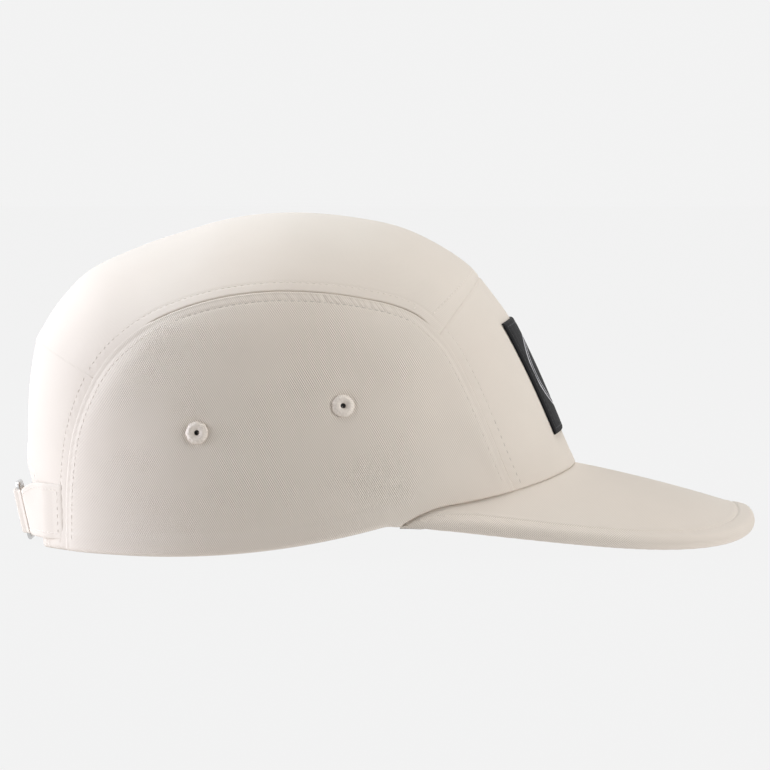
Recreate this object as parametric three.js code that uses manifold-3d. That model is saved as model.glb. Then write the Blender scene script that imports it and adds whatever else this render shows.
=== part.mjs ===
// Five panel cap of cotton twill: front, top, back and two side panels, a bent peak with a rolled
// edge, a woven patch, four stitched eyelets and a back strap in a metal slide buckle.
// Millimetres. +X is the wearer's front, +Y the wearer's left, +Z up. The cap stands on its rim.
import * as THREE from "three";
import { mergeVertices } from "three/addons/utils/BufferGeometryUtils.js";
import Module from "manifold-3d";

const wasm = await Module();
wasm.setup();

// Driving dimensions of the crown
const crownLength = 200; // back of the rim to the front of the rim
const crownWidth = 160; // across the side panels at the rim
const crownHeight = 120; // rim to the top of the top panel
const crownRoundness = 2.15; // exponent of the crown's plan, 2 is an ellipse
const clothWall = 1.5; // wall of a cloth panel with its seam allowances
const seamGap = 0.3; // clearance between pieces that are sewn to each other
const archWidth = 62; // opening in the back panel
const archHeight = 29.5;

// Driving dimensions of the peak
const peakLength = 65; // crown to tip along the middle
const peakWidth = 157; // across its widest place
const peakStart = 38; // how far in front of the crown's middle its ends lie
const peakBend = 150; // radius that it is bent to from side to side
const peakSeat = 28.1; // height of its top face where the front panel meets it
const peakFall = 0.192; // slope down to the front at that place
const peakDroop = 4.4; // how much more the tip hangs than that slope gives
const peakWall = 3.2; // board with its two cloth faces
const peakBand = 6.3; // rolled edge outside the stitched groove
const peakTuck = 3.2; // how far it reaches in under the crown's outer face
const peakRoundness = 3.2; // exponent of its outline

// Driving dimensions of the patch and the eyelets
const patchWidth = 51;
const patchHeight = 45;
const patchWall = 0.8;
const patchRise = 13.4; // peak to the lower edge of the patch, up the front panel
const eyeletWidth = 9;
const eyeletHole = 1.8;
const eyeletBarrel = 4.4; // diameter of the thread that lines the hole
const eyeletRise = 1.1; // height of the thread ring above the cloth

// Driving dimensions of the back strap and its buckle
const strapWidth = 20;
const strapNeck = 16; // width where it runs through the buckle
const strapWall = 1.1;
const strapReach = 45; // half of the span between the sewn ends
const strapTail = 17; // free end past the middle of the buckle
const strapFold = 12; // folded end round the buckle's bar
const strapLift = 11; // middle of the buckle above the rim
const strapRise = 2.4; // how much higher its sewn ends lie than the buckle
const strapSink = 2.4; // how far the strap draws in across the opening
const buckleHeight = 21.4;
const buckleWidth = 15;
const buckleWall = 1.4;
const buckleBar = 2.2;
const buckleLean = 0.22; // outward lean, top over bottom, as a slope

// Facets
const frontRows = 8;
const topRows = 22;
const acrossPanels = 12;
const peakSteps = 36;
const ringSteps = 14;

// The strip of front, top and back panels, one row for each section: the middle of the panel and
// its side seam. X is a share of half the crown's length, Z of the crown's height.
const frontSections = [
  { centreX: 1.002, centreZ: 0.237, seamX: 0.762, seamZ: 0.185 },
  { centreX: 0.952, centreZ: 0.332, seamX: 0.716, seamZ: 0.275 },
  { centreX: 0.896, centreZ: 0.442, seamX: 0.666, seamZ: 0.377 },
  { centreX: 0.829, centreZ: 0.566, seamX: 0.602, seamZ: 0.5 },
  { centreX: 0.757, centreZ: 0.684, seamX: 0.537, seamZ: 0.6 },
  { centreX: 0.684, centreZ: 0.785, seamX: 0.474, seamZ: 0.664 },
];
const topSections = [
  { centreX: 0.684, centreZ: 0.785, seamX: 0.474, seamZ: 0.664 },
  { centreX: 0.61, centreZ: 0.84, seamX: 0.42, seamZ: 0.7 },
  { centreX: 0.505, centreZ: 0.9, seamX: 0.34, seamZ: 0.731 },
  { centreX: 0.358, centreZ: 0.956, seamX: 0.225, seamZ: 0.754 },
  { centreX: 0.175, centreZ: 0.987, seamX: 0.085, seamZ: 0.77 },
  { centreX: -0.045, centreZ: 1, seamX: -0.09, seamZ: 0.774 },
  { centreX: -0.265, centreZ: 0.982, seamX: -0.26, seamZ: 0.758 },
  { centreX: -0.455, centreZ: 0.937, seamX: -0.4, seamZ: 0.727 },
  { centreX: -0.632, centreZ: 0.884, seamX: -0.515, seamZ: 0.685 },
  { centreX: -0.779, centreZ: 0.824, seamX: -0.605, seamZ: 0.632 },
  { centreX: -0.889, centreZ: 0.732, seamX: -0.673, seamZ: 0.578 },
  { centreX: -0.972, centreZ: 0.622, seamX: -0.727, seamZ: 0.516 },
];
const backSections = [
  { centreX: -0.972, centreZ: 0.622, seamX: -0.727, seamZ: 0.516 },
  { centreX: -0.996, centreZ: 0.5, seamX: -0.773, seamZ: 0.43 },
  { centreX: -1.005, centreZ: 0.375, seamX: -0.808, seamZ: 0.333 },
  { centreX: -1.005, centreZ: 0.25, seamX: -0.826, seamZ: 0.225 },
  { centreX: -1.001, centreZ: 0.125, seamX: -0.832, seamZ: 0.115 },
  { centreX: -0.992, centreZ: 0, seamX: -0.829, seamZ: 0 },
];

// The girth that the side panels lie on, by height: its reach to the front and the back as shares
// of half the crown's length, and its width as a share of the crown's.
const girth = [
  { height: 0, front: 1.03, back: -0.99, width: 1 },
  { height: 0.25, front: 1, back: -1.005, width: 0.988 },
  { height: 0.375, front: 0.952, back: -1.005, width: 0.967 },
  { height: 0.5, front: 0.886, back: -1, width: 0.932 },
  { height: 0.625, front: 0.815, back: -0.975, width: 0.881 },
  { height: 0.71, front: 0.755, back: -0.925, width: 0.838 },
  { height: 0.79, front: 0.675, back: -0.845, width: 0.786 },
  { height: 0.875, front: 0.575, back: -0.7, width: 0.725 },
];

// The peak's edge in section: distance in from the outline as a share of the band, and how far
// the face stands proud as a share of the board's thickness.
const peakEdge = [
  { inset: 1.4, proud: 0 },
  { inset: 1, proud: -0.1 },
  { inset: 0.55, proud: 0.14 },
  { inset: 0.14, proud: 0 },
  { inset: 0, proud: -0.3 },
];

// Where the eyelets sit: X as a share of half the crown's length, Z of its height
const eyelets = [
  { name: "rear", x: -0.351, z: 0.364 },
  { name: "front", x: 0.157, z: 0.442 },
];

const halfLength = crownLength / 2;
const peakEnd = peakStart - 2 * seamGap; // from here forward the rim lies on the peak
const step = 0.001; // small move along a surface that finds its direction
const inside = new THREE.Vector3(0, 0, crownHeight * 0.35);

const cloth = new THREE.MeshStandardMaterial({ color: 0xe3dace, roughness: 0.92, metalness: 0 });
const labelCloth = new THREE.MeshStandardMaterial({ color: 0x1c1c1f, roughness: 0.8, metalness: 0 });
const thread = new THREE.MeshStandardMaterial({ color: 0xded3c4, roughness: 0.75, metalness: 0 });
const metal = new THREE.MeshStandardMaterial({ color: 0xb9b9bb, roughness: 0.3, metalness: 1 });

// Cubic curve through a table's rows, for one column
function tableValue(rows, column, height) {
  const last = rows.length - 1;
  let row = rows.findIndex((entry) => entry.height > height) - 1;
  row = row === -2 ? last - 1 : Math.max(row, 0);
  const slope = (at) => {
    const before = rows[Math.max(at - 1, 0)];
    const after = rows[Math.min(at + 1, last)];
    return (after[column] - before[column]) / (after.height - before.height);
  };
  const span = rows[row + 1].height - rows[row].height;
  const t = THREE.MathUtils.clamp((height - rows[row].height) / span, 0, 1);
  const start = rows[row][column];
  const end = rows[row + 1][column];
  const bend = (1 - t) * (slope(row) * span - (end - start)) - t * (slope(row + 1) * span - (end - start));
  return start + (end - start) * t + t * (1 - t) * bend;
}

// Plan of the crown at one height
function planAt(z) {
  const height = THREE.MathUtils.clamp(z / crownHeight, 0, 0.875);
  const front = tableValue(girth, "front", height) * halfLength;
  const back = tableValue(girth, "back", height) * halfLength;
  const width = (tableValue(girth, "width", height) * crownWidth) / 2;
  return { middle: (front + back) / 2, reach: (front - back) / 2, width };
}

// Half width of the side panels at a place seen from the side
function sideDepth(x, z) {
  const plan = planAt(z);
  const along = Math.min(Math.abs(x - plan.middle) / plan.reach, 0.995);
  return plan.width * (1 - along ** crownRoundness) ** (1 / crownRoundness);
}

function sidePoint(x, z, side) {
  return new THREE.Vector3(x, side * sideDepth(x, z), z);
}

// Radius of a superellipse in one direction from its centre
function superRadius(angle, reach, width, roundness) {
  const across = Math.abs(Math.cos(angle) / reach) ** roundness;
  const up = Math.abs(Math.sin(angle) / width) ** roundness;
  return (across + up) ** (-1 / roundness);
}

// Height of the peak's top face, before its edge is rolled
function peakTop(x, y) {
  const forward = x - halfLength;
  const droop = peakDroop * (forward / peakLength) ** 2;
  const bend = peakBend - Math.sqrt(Math.max(peakBend ** 2 - y ** 2, 0));
  return peakSeat - peakFall * forward - droop - bend;
}

// Height of the crown's rim: flat at the back, rising to the peak, then on the peak's top face
function rimHeight(x, y) {
  const flat = -0.6 * halfLength;
  const rise = Math.max((x - flat) / (peakStart - flat), 0);
  const free = 0.11 * crownHeight * Math.min(rise, 1) ** 2.2;
  const onPeak = THREE.MathUtils.smoothstep(x, peakEnd - 0.06 * halfLength, peakEnd);
  return THREE.MathUtils.lerp(free, peakTop(x, y) + seamGap, onPeak);
}

// Surface normal by small moves in both directions, pointing out of the crown
function normalAt(surface, u, v) {
  const alongU = surface(u + step, v).sub(surface(u - step, v));
  const alongV = surface(u, v + step).sub(surface(u, v - step));
  const normal = alongU.cross(alongV).normalize();
  return normal.dot(surface(u, v).sub(inside)) < 0 ? normal.negate() : normal;
}

// A strip of cloth through its sections: round across, smooth along
class Strip {
  constructor(sections) {
    const corner = (x, z) => new THREE.Vector3(x * halfLength, 0, z * crownHeight);
    this.centre = new THREE.CatmullRomCurve3(sections.map((row) => corner(row.centreX, row.centreZ)));
    this.edge = new THREE.CatmullRomCurve3(sections.map((row) => corner(row.seamX, row.seamZ)));
    this.surface = (along, across) => this.point(along, across);
  }

  point(along, across) {
    const t = THREE.MathUtils.clamp(along, 0, 1);
    const centre = this.centre.getPoint(t);
    const base = this.edge.getPoint(t);
    const half = sideDepth(base.x, base.z);
    const rise = centre.sub(base);
    const height = rise.length();
    const radius = (half ** 2 + height ** 2) / (2 * height);
    const angle = across * 2 * Math.atan(height / half);
    const place = base.addScaledVector(rise, 1 - (radius * (1 - Math.cos(angle))) / height);
    return place.setY(radius * Math.sin(angle));
  }

  // Share of the way to the side seam that lies at a distance y from the middle
  acrossAt(along, y) {
    const base = this.edge.getPoint(along);
    const half = sideDepth(base.x, base.z);
    const height = this.centre.getPoint(along).distanceTo(base);
    const radius = (half ** 2 + height ** 2) / (2 * height);
    return Math.asin(y / radius) / (2 * Math.atan(height / half));
  }

  normal(along, across) {
    return normalAt(this.surface, along, across);
  }
}

const frontStrip = new Strip(frontSections);
const topStrip = new Strip(topSections);
const backStrip = new Strip(backSections);

function sideNormal(point, side) {
  return normalAt((x, z) => sidePoint(x, z, side), point.x, point.z);
}

// The side seam at one place: its point, the direction between the two cloths' normals, and the
// direction along the cloth towards the strip
function seamAt(strip, along, side) {
  const point = strip.point(along, side);
  const ahead = strip.point(along + step, side).sub(strip.point(along - step, side));
  const normal = strip.normal(along, side).add(sideNormal(point, side)).normalize();
  const inward = ahead.cross(normal).normalize();
  if (inward.dot(strip.point(along, side * 0.9).sub(point)) < 0) inward.negate();
  return { point, normal, inward };
}

// The seam across the crown between two strips: direction goes from the first strip to the second
function crossSeamAt(first, second, across) {
  const point = first.point(1, across);
  const ahead = first.point(1, across + step).sub(first.point(1, across - step));
  const normal = first.normal(1, across).add(second.normal(0, across)).normalize();
  const onward = ahead.cross(normal).normalize();
  if (onward.dot(second.point(0.1, across).sub(point)) < 0) onward.negate();
  return { point, normal, onward };
}

// One vertex of a strip's cloth, drawn back from the seams that it lies on
function stripCorner(strip, along, across, before, after) {
  const side = Math.abs(across) > 1 - step ? Math.sign(across) : 0;
  const point = strip.point(along, across);
  const normal = new THREE.Vector3();
  if (side !== 0) {
    const seam = seamAt(strip, along, side);
    point.addScaledVector(seam.inward, seamGap / 2);
    normal.add(seam.normal);
  }
  if (before && along < step) {
    const seam = crossSeamAt(before, strip, across);
    point.addScaledVector(seam.onward, seamGap / 2);
    normal.add(seam.normal);
  }
  if (after && along > 1 - step) {
    const seam = crossSeamAt(strip, after, across);
    point.addScaledVector(seam.onward, -seamGap / 2);
    normal.add(seam.normal);
  }
  if (normal.length() === 0) normal.copy(strip.normal(along, across));
  return { point, normal: normal.normalize() };
}

// Closed solid between two grids of points, each given by a function of row and column
function solidBetween(rows, columns, outer, inner) {
  const points = [];
  for (const face of [outer, inner]) {
    for (let i = 0; i <= rows; i += 1) {
      for (let j = 0; j <= columns; j += 1) points.push(face(i, j));
    }
  }
  const perFace = (rows + 1) * (columns + 1);
  const at = (face, i, j) => face * perFace + i * (columns + 1) + j;
  const index = [];
  const quad = (a, b, c, d) => index.push(a, b, c, a, c, d);
  for (let i = 0; i < rows; i += 1) {
    for (let j = 0; j < columns; j += 1) {
      quad(at(0, i, j), at(0, i, j + 1), at(0, i + 1, j + 1), at(0, i + 1, j));
      quad(at(1, i, j), at(1, i + 1, j), at(1, i + 1, j + 1), at(1, i, j + 1));
    }
  }
  for (let i = 0; i < rows; i += 1) {
    quad(at(0, i, 0), at(0, i + 1, 0), at(1, i + 1, 0), at(1, i, 0));
    quad(at(0, i, columns), at(1, i, columns), at(1, i + 1, columns), at(0, i + 1, columns));
  }
  for (let j = 0; j < columns; j += 1) {
    quad(at(0, 0, j), at(1, 0, j), at(1, 0, j + 1), at(0, 0, j + 1));
    quad(at(0, rows, j), at(0, rows, j + 1), at(1, rows, j + 1), at(1, rows, j));
  }
  return closedGeometry(points, index);
}

// Geometry of a closed surface, with its faces pointing out
function closedGeometry(points, index) {
  let volume = 0;
  for (let k = 0; k < index.length; k += 3) {
    const [a, b, c] = [points[index[k]], points[index[k + 1]], points[index[k + 2]]];
    volume += a.dot(b.clone().cross(c));
  }
  if (volume < 0) index.reverse();
  const geometry = new THREE.BufferGeometry().setFromPoints(points);
  geometry.setIndex(index);
  geometry.computeVertexNormals();
  return geometry;
}

// Cloth of the clothWall thickness inside a grid of outer corners
function clothSolid(rows, columns, cornerAt, finish = (point) => point) {
  const corners = [];
  for (let i = 0; i <= rows; i += 1) {
    corners.push([]);
    for (let j = 0; j <= columns; j += 1) corners[i].push(cornerAt(i, j));
  }
  const outer = (i, j) => finish(corners[i][j].point.clone(), i, j);
  const inner = (i, j) => {
    const corner = corners[i][j];
    return finish(corner.point.clone().addScaledVector(corner.normal, -clothWall), i, j);
  };
  return solidBetween(rows, columns, outer, inner);
}

function acrossShare(j) {
  return (2 * j) / acrossPanels - 1;
}

function seatOnPeak(point) {
  return point.setZ(rimHeight(point.x, point.y));
}

function frontPanel() {
  const corner = (i, j) => stripCorner(frontStrip, i / frontRows, acrossShare(j), null, topStrip);
  const onRim = (point, i) => (i === 0 ? seatOnPeak(point) : point);
  return clothSolid(frontRows, acrossPanels, corner, onRim);
}

function topPanel() {
  const corner = (i, j) => stripCorner(topStrip, i / topRows, acrossShare(j), frontStrip, backStrip);
  return clothSolid(topRows, acrossPanels, corner);
}

// Where the arch ends across the rim and along the panel, as shares of the back strip
function archShares() {
  const across = backStrip.acrossAt(1, archWidth / 2);
  let along = 0;
  while (backStrip.point(along, 0).z > archHeight && along < 1) along += step;
  return { across, along };
}

// The back panel is laid round its arch: from the seams in to the opening's edge
function backPanel() {
  const rings = 4;
  const turns = 2 * frontRows + acrossPanels;
  const arch = archShares();
  const seamPlace = (k) => {
    if (k <= frontRows) return { along: 1 - k / frontRows, across: -1 };
    if (k >= frontRows + acrossPanels) return { along: (k - frontRows - acrossPanels) / frontRows, across: 1 };
    return { along: 0, across: acrossShare(k - frontRows) };
  };
  const corner = (k, ring) => {
    const seam = seamPlace(k);
    const turn = (Math.PI * k) / turns;
    const edge = { along: 1 - (1 - arch.along) * Math.sin(turn), across: -arch.across * Math.cos(turn) };
    const along = THREE.MathUtils.lerp(seam.along, edge.along, ring / rings);
    const across = THREE.MathUtils.lerp(seam.across, edge.across, ring / rings);
    return stripCorner(backStrip, along, across, topStrip, null);
  };
  const onRim = (point, k) => (k === 0 || k === turns ? point.setZ(0) : point);
  return clothSolid(turns, rings, corner, onRim);
}

// A place on the side panel's rim seen from the side, with one corner where the peak starts
function rimPlace(u) {
  const front = frontStrip.edge.getPoint(0).x;
  const back = backStrip.edge.getPoint(1).x;
  const turn = Math.round((topRows * (front - peakEnd)) / (front - back)) / topRows;
  const x = u < turn
    ? THREE.MathUtils.lerp(front, peakEnd, u / turn)
    : THREE.MathUtils.lerp(peakEnd, back, (u - turn) / (1 - turn));
  return new THREE.Vector3(x, 0, rimHeight(x, sideDepth(x, 0.12 * crownHeight)));
}

// A place on the side panel seen from the side: blended from its rim and its three seams
function sidePlace(u, v) {
  const front = frontStrip.edge.getPoint(v);
  const back = backStrip.edge.getPoint(1 - v);
  const top = topStrip.edge.getPoint(u);
  const blend = rimPlace(u).multiplyScalar(1 - v).addScaledVector(top, v);
  blend.addScaledVector(front, 1 - u).addScaledVector(back, u);
  blend.addScaledVector(frontStrip.edge.getPoint(0), -(1 - u) * (1 - v));
  blend.addScaledVector(backStrip.edge.getPoint(1), -u * (1 - v));
  blend.addScaledVector(topStrip.edge.getPoint(0), -(1 - u) * v);
  return blend.addScaledVector(topStrip.edge.getPoint(1), -u * v);
}

function sidePanel(side) {
  const corner = (i, j) => {
    const u = i / topRows;
    const v = j / frontRows;
    const place = sidePlace(u, v);
    const point = sidePoint(place.x, place.z, side);
    const seams = [];
    if (i === 0) seams.push(seamAt(frontStrip, v, side));
    if (i === topRows) seams.push(seamAt(backStrip, 1 - v, side));
    if (j === frontRows) seams.push(seamAt(topStrip, u, side));
    const normal = new THREE.Vector3();
    for (const seam of seams) {
      point.addScaledVector(seam.inward, -seamGap / 2 / seams.length);
      normal.add(seam.normal);
    }
    if (seams.length === 0) normal.copy(sideNormal(point, side));
    return { point, normal: normal.normalize() };
  };
  const onRim = (point, i, j) => (j === 0 ? seatOnPeak(point) : point);
  const panel = clothSolid(topRows, frontRows, corner, onRim);
  return cutAway(panel, eyelets.map((eyelet) => eyeletBore(eyelet, side)));
}

// The peak: from under the crown's wall out to its outline, with a rolled edge
function peak() {
  const plan = planAt(peakSeat);
  const innerReach = plan.reach - peakTuck;
  const innerWidth = plan.width - peakTuck;
  const endDepth = sideDepth(peakStart, peakSeat / 2);
  const innerEnd = Math.atan2(endDepth - peakTuck, peakStart - plan.middle);
  const outReach = halfLength + peakLength - peakStart;
  const taper = 0.08 * peakWidth;
  const flatColumns = 3;
  const columns = flatColumns + peakEdge.length - 1;
  const place = (i, j) => {
    const share = (2 * i) / peakSteps - 1;
    const innerRadius = superRadius(share * innerEnd, innerReach, innerWidth, crownRoundness);
    const start = new THREE.Vector2(plan.middle, 0).add(
      new THREE.Vector2(Math.cos(share * innerEnd), Math.sin(share * innerEnd)).multiplyScalar(innerRadius),
    );
    const turn = (share * Math.PI) / 2;
    const outRadius = superRadius(turn, outReach, peakWidth / 2, peakRoundness);
    const end = new THREE.Vector2(peakStart + Math.cos(turn) * outRadius, Math.sin(turn) * outRadius);
    const pull = Math.max(1 - (end.x - peakStart) / taper, 0) ** 2;
    end.y -= Math.sign(end.y) * pull * (peakWidth / 2 - endDepth - seamGap);
    const width = start.distanceTo(end);
    const squeeze = Math.min(1, width / (2 * peakEdge[0].inset * peakBand));
    const edgeRow = Math.max(j - flatColumns, 0);
    const inset = peakEdge[edgeRow].inset * peakBand * squeeze;
    const flatShare = Math.min(j / flatColumns, 1);
    const out = (1 - inset / width) * flatShare;
    const spot = start.clone().lerp(end, out);
    return { spot, proud: peakEdge[edgeRow].proud * peakWall * squeeze };
  };
  const face = (upper) => (i, j) => {
    const { spot, proud } = place(i, j);
    const lift = upper ? proud : -peakWall - proud;
    return new THREE.Vector3(spot.x, spot.y, peakTop(spot.x, spot.y) + lift);
  };
  return solidBetween(peakSteps, columns, face(true), face(false));
}

// The patch lies on the front panel, a gap above its cloth
function frontPatch() {
  const rows = 6;
  const columns = 8;
  const lengthUp = frontStrip.centre.getLength();
  const start = patchRise / lengthUp;
  const end = (patchRise + patchHeight) / lengthUp;
  const corner = (lift) => (i, j) => {
    const t = frontStrip.centre.getUtoTmapping(THREE.MathUtils.lerp(start, end, i / rows));
    const across = frontStrip.acrossAt(t, (j / columns - 0.5) * patchWidth);
    return frontStrip.point(t, across).addScaledVector(frontStrip.normal(t, across), lift);
  };
  return solidBetween(rows, columns, corner(seamGap + patchWall), corner(seamGap));
}

// Ring of thread with a barrel through the panel, standing on its own Z axis
function eyeletRing() {
  const flange = eyeletWidth / 2;
  const bore = eyeletHole / 2;
  const barrel = eyeletBarrel / 2;
  const top = seamGap + eyeletRise;
  const back = -clothWall - seamGap;
  const profile = [
    new THREE.Vector2(bore, back),
    new THREE.Vector2(barrel, back),
    new THREE.Vector2(barrel, seamGap),
    new THREE.Vector2(flange * 0.96, seamGap),
    new THREE.Vector2(flange, seamGap + eyeletRise * 0.4),
    new THREE.Vector2(flange * 0.75, top),
    new THREE.Vector2((bore + flange) / 2.4, top),
    new THREE.Vector2(bore, seamGap + eyeletRise * 0.3),
    new THREE.Vector2(bore, back),
  ];
  const geometry = new THREE.LatheGeometry(profile, ringSteps);
  geometry.rotateX(Math.PI / 2);
  return geometry;
}

// Where an eyelet stands on a side panel, and which way it looks
function eyeletPlace(eyelet, side) {
  const point = sidePoint(eyelet.x * halfLength, eyelet.z * crownHeight, side);
  const normal = sideNormal(point, side);
  const turn = new THREE.Quaternion().setFromUnitVectors(new THREE.Vector3(0, 0, 1), normal);
  return { point, turn };
}

function eyeletBore(eyelet, side) {
  const radius = eyeletBarrel / 2 + seamGap;
  const bore = new THREE.CylinderGeometry(radius, radius, 6 * clothWall, ringSteps);
  bore.rotateX(Math.PI / 2);
  const { point, turn } = eyeletPlace(eyelet, side);
  bore.applyQuaternion(turn);
  bore.translate(point.x, point.y, point.z);
  return bore;
}

// Manifold solid of a closed geometry
function toSolid(geometry) {
  const bare = geometry.clone();
  bare.deleteAttribute("normal");
  bare.deleteAttribute("uv");
  const merged = mergeVertices(bare, 1e-4);
  const vertProperties = new Float32Array(merged.attributes.position.array);
  const triVerts = new Uint32Array(merged.index.array);
  return new wasm.Manifold(new wasm.Mesh({ numProp: 3, vertProperties, triVerts }));
}

function cutAway(geometry, tools) {
  let solid = toSolid(geometry);
  for (const tool of tools) solid = solid.subtract(toSolid(tool));
  const mesh = solid.getMesh();
  const result = new THREE.BufferGeometry();
  result.setAttribute("position", new THREE.BufferAttribute(new Float32Array(mesh.vertProperties), 3));
  result.setIndex(new THREE.BufferAttribute(new Uint32Array(mesh.triVerts), 1));
  result.computeVertexNormals();
  return result;
}

// Layers at the back, as distances out from the strap's base line
const tailLayer = seamGap + strapWall / 2;
const foldLayer = tailLayer + strapWall + seamGap;
const plateLayer = foldLayer + strapWall / 2 + seamGap + buckleWall / 2;
const outerLayer = plateLayer + buckleWall / 2 + seamGap + strapWall / 2;
const slotWidth = (buckleWidth - 3 * buckleBar) / 2;

// Base line of the strap in plan: on the crown beside the arch, drawn in across the opening
function strapBase(y) {
  const heights = [1, 0.9, 0.8, 0.7, 0.6, 0.5];
  const crownAt = (place) => {
    const reaches = heights.map((along) => backStrip.point(along, backStrip.acrossAt(along, place)).x);
    return Math.min(...reaches);
  };
  const leg = archWidth / 2 + 2;
  const drawn = crownAt(0) + strapSink;
  const share = Math.min(Math.abs(y) / leg, 1) ** 2.6;
  return Math.abs(y) >= leg ? crownAt(y) : THREE.MathUtils.lerp(drawn, crownAt(leg), share);
}

// Leans the strap and the buckle outwards at the top, most at the middle
function lean(point) {
  const share = 1 - THREE.MathUtils.smoothstep(Math.abs(point.y), buckleWidth, archWidth / 2);
  return point.setX(point.x - buckleLean * share * (point.z - strapLift));
}

// A strap along a route in plan, each stop a place across the back and a layer
function strap(route, steps) {
  const stops = route.map(([y, layer]) => new THREE.Vector3(strapBase(y) - layer, y, 0));
  const line = new THREE.CatmullRomCurve3(stops, false, "centripetal");
  const up = new THREE.Vector3(0, 0, 1);
  const bands = 2;
  const face = (side) => (i, j) => {
    const u = i / steps;
    const middle = line.getPointAt(u);
    const out = line.getTangentAt(u).cross(up).normalize();
    const widen = THREE.MathUtils.smoothstep(Math.abs(middle.y), buckleWidth * 0.8, archWidth / 2);
    const width = THREE.MathUtils.lerp(strapNeck, strapWidth, widen);
    const point = middle.addScaledVector(out, (side * strapWall) / 2);
    point.z = strapLift + strapRise * widen + width * (j / bands - 0.5);
    return lean(point);
  };
  return solidBetween(steps, bands, face(1), face(-1));
}

// Through the slot, over the middle bar, back through the other slot, and a tail inside
function strapLeft() {
  const slot = buckleBar / 2 + seamGap + strapWall * 0.65;
  const route = [
    [strapReach, tailLayer],
    [archWidth / 2 + 4, tailLayer],
    [archWidth / 4 + 6, tailLayer],
    [buckleWidth * 0.75, tailLayer],
    [slot + slotWidth * 0.5, tailLayer],
    [slot, plateLayer],
    [slot - strapWall * 0.15, outerLayer - strapWall * 0.35],
    [slot * 0.35, outerLayer + strapWall * 0.1],
    [-slot * 0.35, outerLayer + strapWall * 0.1],
    [strapWall * 0.15 - slot, outerLayer - strapWall * 0.35],
    [-slot, plateLayer],
    [-slot - slotWidth * 0.35, tailLayer + strapWall * 0.1],
    [-strapTail * 0.7, tailLayer],
    [-strapTail, tailLayer],
  ];
  return strap(route, 72);
}

// Folded round the end bar, with its end back on itself
function strapRight() {
  const barOuter = buckleWidth / 2;
  const slot = barOuter - buckleBar - seamGap - strapWall * 0.65;
  const route = [
    [-strapReach, tailLayer],
    [-archWidth / 2 - 4, tailLayer],
    [-strapTail - 6, tailLayer + strapWall * 0.4],
    [-strapTail + 0.5, foldLayer + strapWall * 0.55],
    [-barOuter - 3, outerLayer - strapWall * 0.45],
    [-barOuter, outerLayer],
    [-slot - strapWall * 0.8, outerLayer + strapWall * 0.1],
    [-slot - strapWall * 0.15, outerLayer - strapWall * 0.35],
    [-slot, plateLayer],
    [-slot - strapWall * 0.15, foldLayer + strapWall * 0.35],
    [-slot - strapWall * 0.8, foldLayer],
    [-barOuter, foldLayer],
    [-strapFold, foldLayer],
  ];
  return strap(route, 64);
}

// Three-bar slide, standing across the strap
function slideBuckle() {
  const outline = roundedRectangle(0, 0, buckleWidth, buckleHeight, buckleBar);
  const slotMiddle = (slotWidth + buckleBar) / 2;
  for (const side of [-1, 1]) {
    outline.holes.push(
      roundedRectangle(side * slotMiddle, 0, slotWidth, buckleHeight - 2 * buckleBar, slotWidth * 0.2),
    );
  }
  const geometry = new THREE.ExtrudeGeometry(outline, {
    depth: buckleWall,
    bevelEnabled: false,
    curveSegments: 3,
  });
  geometry.translate(0, 0, -buckleWall / 2);
  geometry.rotateX(Math.PI / 2);
  geometry.rotateZ(Math.PI / 2);
  geometry.translate(strapBase(0) - plateLayer, 0, strapLift);
  const place = geometry.attributes.position;
  const point = new THREE.Vector3();
  for (let k = 0; k < place.count; k += 1) {
    lean(point.fromBufferAttribute(place, k));
    place.setXYZ(k, point.x, point.y, point.z);
  }
  geometry.computeVertexNormals();
  return geometry;
}

function roundedRectangle(x, y, width, height, radius) {
  const shape = new THREE.Shape();
  const right = x + width / 2 - radius;
  const left = x - width / 2 + radius;
  const top = y + height / 2 - radius;
  const bottom = y - height / 2 + radius;
  shape.absarc(right, bottom, radius, -Math.PI / 2, 0, false);
  shape.absarc(right, top, radius, 0, Math.PI / 2, false);
  shape.absarc(left, top, radius, Math.PI / 2, Math.PI, false);
  shape.absarc(left, bottom, radius, Math.PI, Math.PI * 1.5, false);
  shape.closePath();
  return shape;
}

const cap = new THREE.Group();

function addPiece(name, geometry, material) {
  const mesh = new THREE.Mesh(geometry, material.clone());
  mesh.name = name;
  cap.add(mesh);
  return mesh;
}

addPiece("front_panel", frontPanel(), cloth);
addPiece("top_panel", topPanel(), cloth);
addPiece("back_panel", backPanel(), cloth);
addPiece("peak", peak(), cloth);
addPiece("front_patch", frontPatch(), labelCloth);
for (const [word, side] of [["right", -1], ["left", 1]]) {
  addPiece(`side_panel_${word}`, sidePanel(side), cloth);
  for (const eyelet of eyelets) {
    const ring = addPiece(`eyelet_${word}_${eyelet.name}`, eyeletRing(), thread);
    const { point, turn } = eyeletPlace(eyelet, side);
    ring.position.copy(point);
    ring.quaternion.copy(turn);
  }
}
addPiece("strap_left", strapLeft(), cloth);
addPiece("strap_right", strapRight(), cloth);
addPiece("slide_buckle", slideBuckle(), metal);

// The origin is at the middle of the cap's box, on the surface that it stands on
cap.updateMatrixWorld(true);
const box = new THREE.Box3().setFromObject(cap, true);
cap.position.set(-(box.min.x + box.max.x) / 2, 0, -box.min.z);
cap.updateMatrixWorld(true);

export default cap;
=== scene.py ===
"""Five panel cap of cotton twill: sewn panels, a bent peak, a woven patch, eyelets and a back strap.

The classes hold their sizes in millimetres in the crown's own frame: X to the wearer's front, Y to
the wearer's left, Z up, and X = 0 at the middle of the crown. Meshes are written in metres in the
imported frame, which has its origin under the middle of the whole cap.
"""
import logging
import math
from dataclasses import dataclass, field, replace
from enum import Enum
from typing import Sequence

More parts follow.
